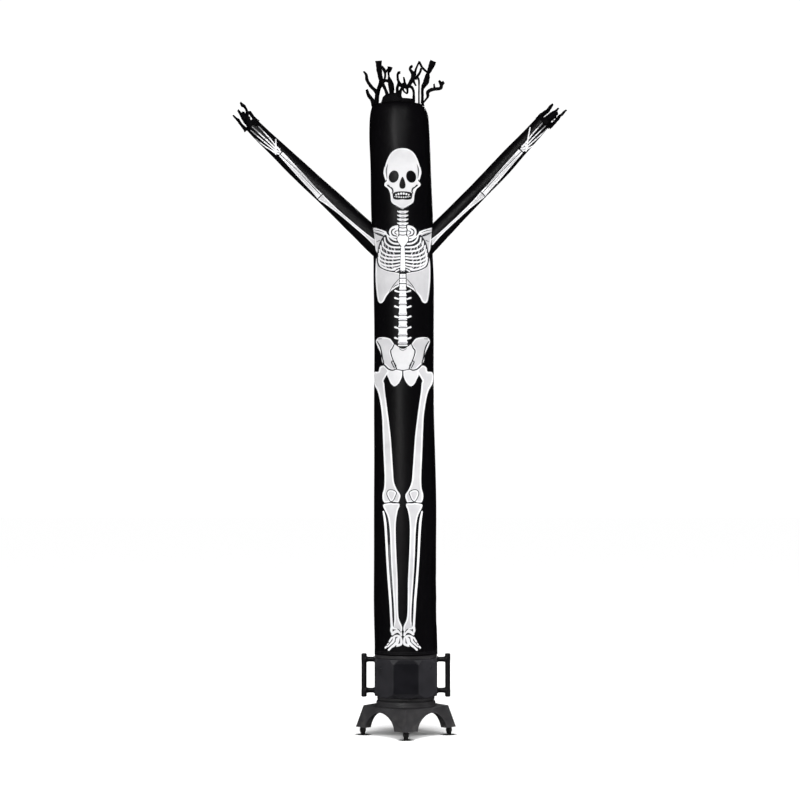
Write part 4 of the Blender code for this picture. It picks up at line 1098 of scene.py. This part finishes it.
def on_arm(side, ref):
    sleeve = SLEEVES[side]
    end = sleeve.length

    def find(px, py):
        depth, distance = -0.05, end / 2
        for _ in range(7):
            point = seen_at(px, py, depth)
            for _ in range(6):
                along, upper, _ = sleeve.frame(max(distance, 0.0))
                middle = sleeve.middle(distance) + along * min(distance, 0.0)
                gap = point - middle
                flat_along = Vector((along.x, 0, along.z)).normalized()
                distance += Vector((gap.x, 0, gap.z)).dot(flat_along)
                distance = min(max(distance, -0.06), end)
            radius = smooth_rows(sleeve.rows, distance, (4,))[0] / 2
            share = min(max((point - middle).dot(upper) / radius, -1.1), 1.1)
            turn = turn_of(abs(share))
            depth = middle.y - radius * cos(min(turn, pi / 2))
        return (turn if share > 0 else -turn) * ref, distance

    return find


def make_body():
    half = pi * BODY_REF
    shapes = [(ink, [on_body(*p) for p in outline]) for ink, outline in figure.shapes]
    holes = []
    for side, (u, v, spots) in ARMHOLES.items():
        holes.append([(u + (a - u) * 0.93, v + (b - v) * 0.93) for a, b in spots])

    def fine(u, v):
        if v < BODY_LOW + 0.07 or v > BODY_TOP - 0.09:
            return True
        return any(hypot(u - a[0], (v - a[1]) * 0.8) < 0.12 for a in ARMHOLES.values())

    body = flat_cloth("air_dancer_body", half, lambda u: BODY_LOW, BODY_TOP, BODY_STEP, shapes,
                      body_place, fine, holes)
    face_out(body, lambda c: Vector((c.x, c.y, 0)))
    thicken(body)
    return claim(body, ["body_tube"])


def make_arm(side):
    sleeve = SLEEVES[side]
    place, ref = arm_place(side)
    find = on_arm(side, ref)
    drawing = Drawing()
    draw_arm(drawing, *ARM_PRINTS[side])
    shapes = [(ink, [find(*p) for p in outline]) for ink, outline in drawing.shapes]
    half = pi * ref
    arm = flat_cloth(f"air_dancer_arm_{side}", half, lambda u: sleeve.mouth(u / ref - pi / 2),
                     sleeve.length, ARM_STEP, shapes, place,
                     lambda u, v: v < 0.10 or v > sleeve.length - 0.03)
    face_out(arm, lambda c: c - sleeve.middle((c - sleeve.middle(0)).length))
    thicken(arm)
    return claim(arm, [f"arm_{side}", f"arm_{side}_outer"])


# ---------------------------------------------------------------- ribbons

RIBBON_WIDTH = 0.014        # as cut: one that looks thinner is turned on its edge
RIBBON_FULLER = 1.12        # drawn wider than they are seen, since the bright ground eats into them


def ribbon_rows(strand, index, centre, upper, radius):
    """The points of a ribbon, five across, and its width. It stands on the rim it is cut from."""
    away = Vector((0, 1, 0))
    line = curve(strand.points, False, 5)
    widths = [RIBBON_FULLER * w for w in along_line(line, strand.widths)]
    off = (seen_at(*line[0], centre.y) - centre).dot(upper)
    depth = centre.y + strand.side * sqrt(max(radius**2 - off**2, (0.2 * radius) ** 2))
    places = []
    for k, spot in enumerate(line):
        t = k / (len(line) - 1)
        sway = strand.side * 0.010 * t + 0.005 * t * sin(6 * t + 2 * index)
        places.append(seen_at(*spot, depth + sway))
    pixel = (depth - EYE.y) / FOCAL_PIXELS
    full = max(max(widths) * pixel, RIBBON_WIDTH)
    spin = 1 if index % 2 else -1
    rows = []
    for k, (place, width) in enumerate(zip(places, widths)):
        along = (places[min(k + 1, len(places) - 1)] - places[max(k - 1, 0)]).normalized()
        seen = min(width * pixel / full, 1.0)
        across = along.cross(away).normalized() * seen + away * (spin * sqrt(1 - seen * seen))
        cup = along.cross(across)
        ragged = 1 + 0.10 * sin(1.9 * k + index) * sin(0.7 * k)
        rows.append([place + across * (s * full / 2 * ragged) + cup * (0.10 * full * (1 - s * s))
                     for s in (-1, -0.5, 0, 0.5, 1)])
    return rows, full


def make_fringe(name, strands, centre, upper, radius, edge_point, uncut, node):
    """A sewn strip and the torn strands that stand on it, one sheet with its thickness."""
    bm = bmesh.new()
    uv = bm.loops.layers.uv.new("cloth")

    def sheet(rows, flat):
        for r in range(len(rows) - 1):
            for k in range(len(rows[0]) - 1):
                around = ((r, k), (r, k + 1), (r + 1, k + 1), (r + 1, k))
                made = bm.faces.new([rows[i][j] for i, j in around])
                made.smooth = True
                for loop, spot in zip(made.loops, around):
                    loop[uv].uv = flat(*spot)

    columns, rises = 160, 4
    angles = [2 * pi * k / columns for k in range(columns)]
    rows = [[bm.verts.new(edge_point(a, uncut(a) * r / rises)) for a in angles]
            for r in range(rises + 1)]
    sheet([row + row[:1] for row in rows], lambda i, j: (radius * 2 * pi * j / columns, i * 0.004))
    for index, strand in enumerate(strands):
        rows, full = ribbon_rows(strand, index, centre, upper, radius)
        sheet([[bm.verts.new(point) for point in row] for row in rows],
              lambda i, j: (full * j / 4, i * 0.005))
    mesh = mesh_from(bm, name)
    mesh.materials.append(RIBBON_CLOTH)
    piece = add_object(name, mesh)
    thicken(piece, 0)
    return claim(piece, [node])


def make_hair():
    x, y, width = smooth_rows(BODY, BODY_TOP, (1, 2, 3))
    middle = FRAME_PIXELS / 2 + (x - EYE.x) / (y - EYE.y) * FOCAL_PIXELS
    reach = width / 2 / (y - EYE.y) * FOCAL_PIXELS

    def edge_point(angle, rise):
        return body_surface(angle, BODY_TOP, 0.001) + Vector((0.0, 0.0, SEAT + rise))

    def uncut(angle):
        if sin(angle) > 0:
            return 0.010
        seen = middle + reach * cos(angle)
        return float(np.interp(seen, *zip(*UNCUT)))

    return make_fringe("air_dancer_hair", HAIR, Vector((x, y, BODY_TOP)), Vector((1, 0, 0)),
                       width / 2, edge_point, uncut, "hair_ribbons")


def make_fingers(side):
    sleeve = SLEEVES[side]
    along, upper, _ = sleeve.frame(sleeve.length)

    def edge_point(angle, rise):
        return sleeve.point(angle, sleeve.length, 0.001) + along * (SEAT + rise)

    return make_fringe(f"air_dancer_fingers_{side}", FINGERS[side], sleeve.middle(sleeve.length),
                       upper, sleeve.rows[-1][4] / 2, edge_point, lambda a: 0.008,
                       f"finger_ribbons_{side}")


# ---------------------------------------------------------------- the blower

FOOT_HEIGHT, FOOT_CIRCLE = 0.0397, 0.218
BASE_BOTTOM, BASE_TOP = FOOT_HEIGHT + SEAT, 0.148
BASE_LEG_LOW, BASE_LEG_HIGH = 0.254, 0.215       # to the ridges of the legs
BASE_SIDE_LOW, BASE_SIDE_HIGH = 0.200, 0.185     # to the corners between them
ARCH_HALF_WIDTH, ARCH_TOP, ARCH_SINK, ARCH_POWER = 0.1047, 0.1245, 0.008, 1.8
HOLLOW_LOW, HOLLOW_HIGH, CEILING = 0.180, 0.160, 0.120
WAIST_BOTTOM, WAIST_TOP = BASE_TOP + SEAT, 0.1975
HOUSING_BOTTOM, HOUSING_TOP, HOUSING_FLAT = WAIST_TOP + SEAT, 0.390, 0.158
RIM_BOTTOM, RIM_TOP, RIM_RADIUS = HOUSING_TOP + SEAT, 0.408, 0.158
NECK_TOP, NECK_RADIUS, NECK_WALL, BORE_RADIUS = 0.462, 0.1545, 0.006, 0.125
HANDLE_X, GRIP_RADIUS, GRIP_BOTTOM, GRIP_TOP = 0.212, 0.0140, 0.1905, 0.4100
HANDLE_ARMS = (0.2235, 0.3800)


def add_piece(name, mesh, material, nodes=()):
    mesh.materials.clear()
    mesh.materials.append(material)
    return claim(add_object(name, mesh), nodes)


def rounded(profile, radius=0.0015):
    """The same outline with its corners turned off."""
    result = []
    count = len(profile)
    for k in range(count):
        here = Vector(profile[k])
        before, after = Vector(profile[k - 1]), Vector(profile[(k + 1) % count])
        r = min(radius, (here - before).length * 0.45, (after - here).length * 0.45)
        a = here + (before - here).normalized() * r
        b = here + (after - here).normalized() * r
        for t in (0.0, 1 / 3, 2 / 3, 1.0):
            result.append(tuple(a * (1 - t) ** 2 + here * (2 * t * (1 - t)) + b * t * t))
    return result


def lathe(name, profile, sides=128, closed=True, place=(0, 0, 0), matrix=None):
    """Turns an outline (radius, height) about the upright axis."""
    bm = bmesh.new()
    rings = []
    for radius, height in profile:
        if radius < 1e-6:
            rings.append([bm.verts.new((0, 0, height))])
        else:
            rings.append([bm.verts.new((radius * cos(a), radius * sin(a), height))
                          for a in (2 * pi * k / sides for k in range(sides))])
    pairs = list(zip(rings, rings[1:])) + ([(rings[-1], rings[0])] if closed else [])
    for low, high in pairs:
        for k in range(sides):
            j = (k + 1) % sides
            if len(low) == 1:
                face = bm.faces.new((low[0], high[j], high[k]))
            elif len(high) == 1:
                face = bm.faces.new((low[k], low[j], high[0]))
            else:
                face = bm.faces.new((low[k], low[j], high[j], high[k]))
            face.smooth = True
    bm.transform(matrix or Matrix.Translation(place))
    return mesh_from(bm, name)


def prism(name, low, high, depth, sides, matrix):
    """An upright block with as many sides, from its radius below to that above."""
    bm = bmesh.new()
    bmesh.ops.create_cone(bm, cap_ends=True, segments=sides, radius1=low, radius2=high,
                          depth=depth, matrix=matrix)
    return mesh_from(bm, name)


def carved(mesh, cutters, bevel=0.0, angle=0):
    """A block with other shapes cut away or kept, and its edges rounded."""
    piece = add_object("block", mesh)
    helpers = []
    for operation, cutter in cutters:
        helper = add_object("helper", cutter)
        helpers.append(helper)
        boolean = piece.modifiers.new("cut", "BOOLEAN")
        boolean.object, boolean.operation, boolean.solver = helper, operation, "EXACT"
    apply_modifiers(piece)
    if bevel:
        rounding = piece.modifiers.new("round", "BEVEL")
        rounding.width, rounding.segments = bevel, 3
        rounding.limit_method, rounding.angle_limit = "ANGLE", radians(angle)
        apply_modifiers(piece)
    for helper in helpers:
        bpy.data.objects.remove(helper)
    piece.data.shade_smooth()
    piece.data.set_sharp_from_angle(angle=radians(32))
    flat = piece.modifiers.new("flat", "WEIGHTED_NORMAL")
    flat.keep_sharp = True
    apply_modifiers(piece)
    mesh = piece.data
    bpy.data.objects.remove(piece)
    return mesh


def base_block():
    """Eight corners, those of the legs farther out than those between them."""
    bm = bmesh.new()
    low, high = [[bm.verts.new((reach[k % 2] * cos(pi * k / 4), reach[k % 2] * sin(pi * k / 4),
                                height)) for k in range(8)]
                 for height, reach in ((BASE_BOTTOM, (BASE_LEG_LOW, BASE_SIDE_LOW)),
                                       (BASE_TOP, (BASE_LEG_HIGH, BASE_SIDE_HIGH)))]
    for k in range(8):
        leg, side = (k, (k + 1) % 8) if k % 2 == 0 else ((k + 1) % 8, k)
        bm.faces.new((low[leg], low[side], high[side]))
        bm.faces.new((low[leg], high[side], high[leg]))
    bm.faces.new(low)
    bm.faces.new(high)
    return mesh_from(bm, "blower_base")


def arch(turn):
    """A long block with a pointed top, from one side of the base through to another."""
    low, sides = BASE_BOTTOM - ARCH_SINK, 72
    bm = bmesh.new()
    ends = []
    for reach in (-0.3, 0.3):
        ring = []
        for a in (2 * pi * k / sides for k in range(sides)):
            across = abs(cos(a)) ** (2 / ARCH_POWER) * (1 if cos(a) > 0 else -1)
            rise = abs(sin(a)) ** (2 / ARCH_POWER) * (1 if sin(a) > 0 else -1)
            ring.append(bm.verts.new((across * ARCH_HALF_WIDTH, reach,
                                      low + rise * (ARCH_TOP - low))))
        ends.append(ring)
    for k in range(sides):
        j = (k + 1) % sides
        bm.faces.new((ends[0][k], ends[0][j], ends[1][j], ends[1][k]))
    for ring in ends:
        bm.faces.new(ring)
    bm.transform(Matrix.Rotation(radians(turn), 4, "Z"))
    return mesh_from(bm, "arch")


def make_base():
    hole = prism("hole", BORE_RADIUS, BORE_RADIUS, 2 * (BASE_TOP - CEILING) + 0.01, 96,
                 Matrix.Translation((0, 0, BASE_TOP)))
    depth = CEILING - BASE_BOTTOM + 0.01
    spread = (HOLLOW_LOW - HOLLOW_HIGH) / (CEILING - BASE_BOTTOM)
    hollow = prism("hollow", HOLLOW_HIGH + spread * depth, HOLLOW_HIGH, depth, 96,
                   Matrix.Translation((0, 0, CEILING - depth / 2)))
    mesh = carved(base_block(), [("DIFFERENCE", cutter)
                                 for cutter in (hole, hollow, arch(45), arch(135))], 0.0028, 10)
    add_piece("blower_base", mesh, CHARCOAL_BASE, ["base_skirt"])


def make_waist():
    profile = [(0.1380, WAIST_TOP), (0.1435, 0.1950), (0.1455, 0.1895), (0.1455, 0.1825),
               (0.1425, 0.1785), (0.1425, 0.1765), (0.1475, 0.1735), (0.1495, 0.1670),
               (0.1505, 0.1600), (0.1550, 0.1540), (0.1550, WAIST_BOTTOM),
               (BORE_RADIUS, WAIST_BOTTOM), (BORE_RADIUS, WAIST_TOP)]
    add_piece("blower_waist", lathe("blower_waist", rounded(profile)), CHARCOAL_BASE, ["waist_ring"])


def make_housing():
    height = HOUSING_TOP - HOUSING_BOTTOM
    middle = (HOUSING_TOP + HOUSING_BOTTOM) / 2
    corner = HOUSING_FLAT / cos(pi / 8)
    block = prism("housing", corner, corner, height + 0.02, 8,
                  Matrix.Translation((0, 0, middle)) @ Matrix.Rotation(pi / 8, 4, "Z"))
    trim = lathe("trim", [(0.0, HOUSING_TOP), (0.1730, HOUSING_TOP), (0.1855, 0.3620),
                          (0.1855, 0.2200), (0.1678, HOUSING_BOTTOM), (0.0, HOUSING_BOTTOM)],
                 8, False)
    bore = prism("bore", BORE_RADIUS, BORE_RADIUS, height + 0.1, 96,
                 Matrix.Translation((0, 0, middle)))
    mesh = carved(block, [("INTERSECT", trim), ("DIFFERENCE", bore)], 0.0022, 18)
    shell = add_piece("blower_housing_shell", mesh, CHARCOAL, ["blower_housing"])
    shell.data.materials.append(FRONT_FLAT_PAINTED_SHADE)
    shell.data.materials.append(FACETS_PAINTED_LIGHT)
    for face in shell.data.polygons:         # painted shade on the front flat, which takes a darker copy of the plastic, and painted light on the upward turned corners above, which take a lighter copy
        if face.normal.y < -0.995 and face.area > 0.001:
            face.material_index = 1
        elif 0.2 < face.normal.z < 0.6 and face.area > 0.0002:
            face.material_index = 2


def make_fittings():
    """The bare label on the front flat, a screw on the right one and a cap on the left one."""
    bm = bmesh.new()
    bmesh.ops.create_cube(bm, size=1.0, matrix=Matrix.Translation((0, -HOUSING_FLAT, 0.294))
                          @ Matrix.Diagonal((0.118, 0.0012, 0.150, 1)))
    edges = [e for e in bm.edges if abs(e.verts[0].co.y - e.verts[1].co.y) > 0.0005]
    bmesh.ops.bevel(bm, geom=edges, offset=0.010, segments=5, affect="EDGES", profile=0.5)
    add_piece("blower_label_plate", mesh_from(bm, "blower_label_plate"), LABEL, ())
    for name, turn, side, up, size in (("blower_screw_right", 45, 0.020, 0.344, 0.0055),
                                       ("blower_cap_left", -45, -0.022, 0.336, 0.0080)):
        profile = [(0.0, 0.0022), (size * 0.35, 0.0022), (size * 0.45, 0.0012),
                   (size * 0.62, 0.0012), (size * 0.72, 0.0026), (size * 0.9, 0.0024),
                   (size, 0.0012), (size, -0.001), (0.0, -0.001)]
        place = (Matrix.Rotation(radians(turn), 4, "Z")
                 @ Matrix.Translation((side, -HOUSING_FLAT, up)) @ Matrix.Rotation(pi / 2, 4, "X"))
        add_piece(name, lathe(name, profile, 32, False, matrix=place), CHARCOAL, ())


def make_rim():
    profile = [(NECK_RADIUS - NECK_WALL, NECK_TOP), (NECK_RADIUS, NECK_TOP), (NECK_RADIUS, RIM_TOP),
               (RIM_RADIUS - 0.0005, RIM_TOP), (RIM_RADIUS, RIM_TOP - 0.003),
               (RIM_RADIUS, RIM_BOTTOM + 0.003), (RIM_RADIUS - 0.002, RIM_BOTTOM),
               (BORE_RADIUS, RIM_BOTTOM), (BORE_RADIUS, RIM_TOP - 0.004),
               (NECK_RADIUS - NECK_WALL, RIM_TOP + 0.004)]
    add_piece("blower_outlet_rim", lathe("blower_outlet_rim", rounded(profile, 0.0012), 160),
              CHARCOAL_BASE, ["outlet_rim"])


def make_handle(side):
    sign = -1 if side == "left" else 1
    middle = (GRIP_BOTTOM + GRIP_TOP) / 2
    half = (GRIP_TOP - GRIP_BOTTOM) / 2
    upper = [(0.0, half)] + [(GRIP_RADIUS - 0.006 + 0.006 * sin(a), half - 0.006 + 0.006 * cos(a))
                             for a in (0.0, 0.4, 0.8, 1.2, pi / 2)]
    upper += [(GRIP_RADIUS, half - 0.030), (GRIP_RADIUS - 0.0008, half - 0.045)]
    outline = upper + [(r, -h) for r, h in reversed(upper)]
    grip = lathe("grip", outline, 40, False, (sign * HANDLE_X, 0, middle))
    start = HOUSING_FLAT + SEAT
    reach = HANDLE_X - start
    cutters = []
    for height in HANDLE_ARMS:
        arm = [(0.0, 0.0), (0.0160, 0.0), (0.0160, 0.0035), (0.0125, 0.0060), (0.0125, reach - 0.026),
               (0.0135, reach - 0.018), (0.0170, reach - 0.010), (0.0170, reach - 0.004), (0.0, reach)]
        place = (Matrix.Translation((sign * start, 0, height))
                 @ Matrix.Rotation(sign * pi / 2, 4, "Y"))
        cutters.append(("UNION", lathe("arm", arm, 36, False, matrix=place)))
    name = f"blower_handle_{side}"
    piece = add_piece(name, carved(grip, cutters), BLACK, [f"handle_{side}"])
    remesh = piece.modifiers.new("remesh", "REMESH")
    remesh.mode, remesh.voxel_size, remesh.use_smooth_shade = "VOXEL", 0.0012, True
    soften = piece.modifiers.new("soften", "SMOOTH")
    soften.factor, soften.iterations = 0.5, 6
    apply_modifiers(piece)
    piece.data.materials.clear()
    piece.data.materials.append(BLACK)


def make_feet():
    profile = [(0.0, FOOT_HEIGHT), (0.0105, FOOT_HEIGHT), (0.0140, 0.0355), (0.0158, 0.0280),
               (0.0153, 0.0190), (0.0120, 0.0130), (0.0115, 0.0030), (0.0105, 0.0), (0.0, 0.0)]
    for k in range(4):
        angle = pi / 2 * k
        place = (FOOT_CIRCLE * cos(angle), FOOT_CIRCLE * sin(angle), 0.0)
        line = [profile[0]] + rounded(profile, 0.0016)[4:-4] + [profile[-1]]
        add_piece(f"blower_foot_{k + 1}", lathe(f"blower_foot_{k + 1}", line, 40, False, place),
                  RUBBER, [f"foot_{k + 1}"])


body_piece = make_body()
arm_pieces = {side: make_arm(side) for side in SLEEVES}
hair_piece = make_hair()
finger_pieces = {side: make_fingers(side) for side in SLEEVES}
make_base()
make_waist()
make_housing()
make_fittings()
make_rim()
for side_name in ("left", "right"):
    make_handle(side_name)
make_feet()
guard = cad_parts["intake_guard"]
for holder in guard.material_slots:
    holder.material = BLACK

# ---------------------------------------------------------------- floor and light

bm = bmesh.new()
bmesh.ops.create_grid(bm, x_segments=8, y_segments=8, size=60.0)
floor = add_object("floor", mesh_from(bm, "floor"))
floor_material = bpy.data.materials.new("floor_white_painted_shadow")
n = Nodes(floor_material)
behind = n.add("SeparateXYZ", {"Vector": n.add("TexCoord").outputs["Object"]}).outputs["Y"]
# Painted contact shadow: the floor goes dark where the feet stand close over it (occlusion within 4
# cm).
near = n.add("AmbientOcclusion", {"Distance": 0.040}, samples=16).outputs["AO"]
# Painted shadow behind the base: darker where the base closes over the floor (occlusion within 42 cm),
# only on the floor behind the side feet.
wide = n.add("AmbientOcclusion", {"Distance": 0.42}, samples=16).outputs["AO"]
painted_shadow_behind = n.times(n.span(wide, 0.96, 0.45, 0.0, 0.80), n.span(behind, 0.03, 0.22))
under = n.mix(painted_shadow_behind, (0.97, 0.97, 0.97, 1), (0.15, 0.15, 0.15, 1))
n.put(n.mix(n.span(near, 0.995, 0.88), under, (0.03, 0.03, 0.03, 1)),
      n.shader.inputs["Base Color"])
n.shader.inputs["Roughness"].default_value = 0.9
n.shader.inputs["Specular IOR Level"].default_value = 0.0
floor.data.materials.append(floor_material)
floor.visible_glossy = False

world = bpy.data.worlds.new("studio")
bpy.context.scene.world = world
world.use_nodes = True
tree = world.node_tree
tree.nodes.clear()
output = tree.nodes.new("ShaderNodeOutputWorld")
paths = tree.nodes.new("ShaderNodeLightPath")
result = None
for ray, strength in ((None, 0.40), ("Is Glossy Ray", 0.004), ("Is Camera Ray", 1.05)):
    shade = tree.nodes.new("ShaderNodeBackground")
    shade.inputs["Color"].default_value = (1, 1, 1, 1)
    shade.inputs["Strength"].default_value = strength
    if ray:
        blend = tree.nodes.new("ShaderNodeMixShader")
        for socket, value in enumerate((paths.outputs[ray], result, shade.outputs[0])):
            tree.links.new(value, blend.inputs[socket])
        result = blend.outputs[0]
    else:
        result = shade.outputs[0]
tree.links.new(result, output.inputs[0])


def add_light(name, place, aim, power, size, in_gloss=True):
    """A rectangular lamp, or a sun where its size is a single angle."""
    sun = not isinstance(size, tuple)
    light = bpy.data.lights.new(name, "SUN" if sun else "AREA")
    light.energy = power
    if sun:
        light.angle = size
    else:
        light.shape = "RECTANGLE"
        light.size, light.size_y = size
    lamp = add_object(name, light)
    lamp.location = place
    lamp.rotation_mode = "QUATERNION"
    lamp.rotation_quaternion = (Vector(aim) - Vector(place)).to_track_quat("-Z", "Y")
    lamp.visible_glossy = in_gloss


add_light("strip_front", (-1.9, -5.4, 3.3), (0, 0, 1.9), 125, (0.8, 4.2))
add_light("sky_soft", (0, -3.0, 6.0), (0, 0, 0), 2.2, radians(30), False)
SIDES = (("left", -1), ("right", 1))
for (side_name, sign), power in zip(SIDES, (40, 80)):
    add_light(f"high_{side_name}", (sign * 3.0, -3.0, 4.4), (0, 0, 0.4), power, (1.0, 1.0), False)
for (side_name, sign), power in zip(SIDES, (80, 130)):
    add_light(f"side_{side_name}", (sign * 3.6, -0.6, 0.5), (0, 0, 0.25), power, (1.0, 1.4), False)
add_light("top_front", (-0.1, -5.5, 4.6), (0, 0, 2.8), 18, (1.3, 0.6))
for side_name, sign in SIDES:
    add_light(f"arm_{side_name}_sheen", (-sign * 1.5, -5.5, 6.0), (sign * 0.45, 0, 2.8), 34, (0.8, 0.8))
add_light("strip_back", (1.4, 5.6, 3.6), (0, 0, 1.9), 42, (0.4, 4.2))
bpy.context.scene.view_settings.view_transform = "Standard"
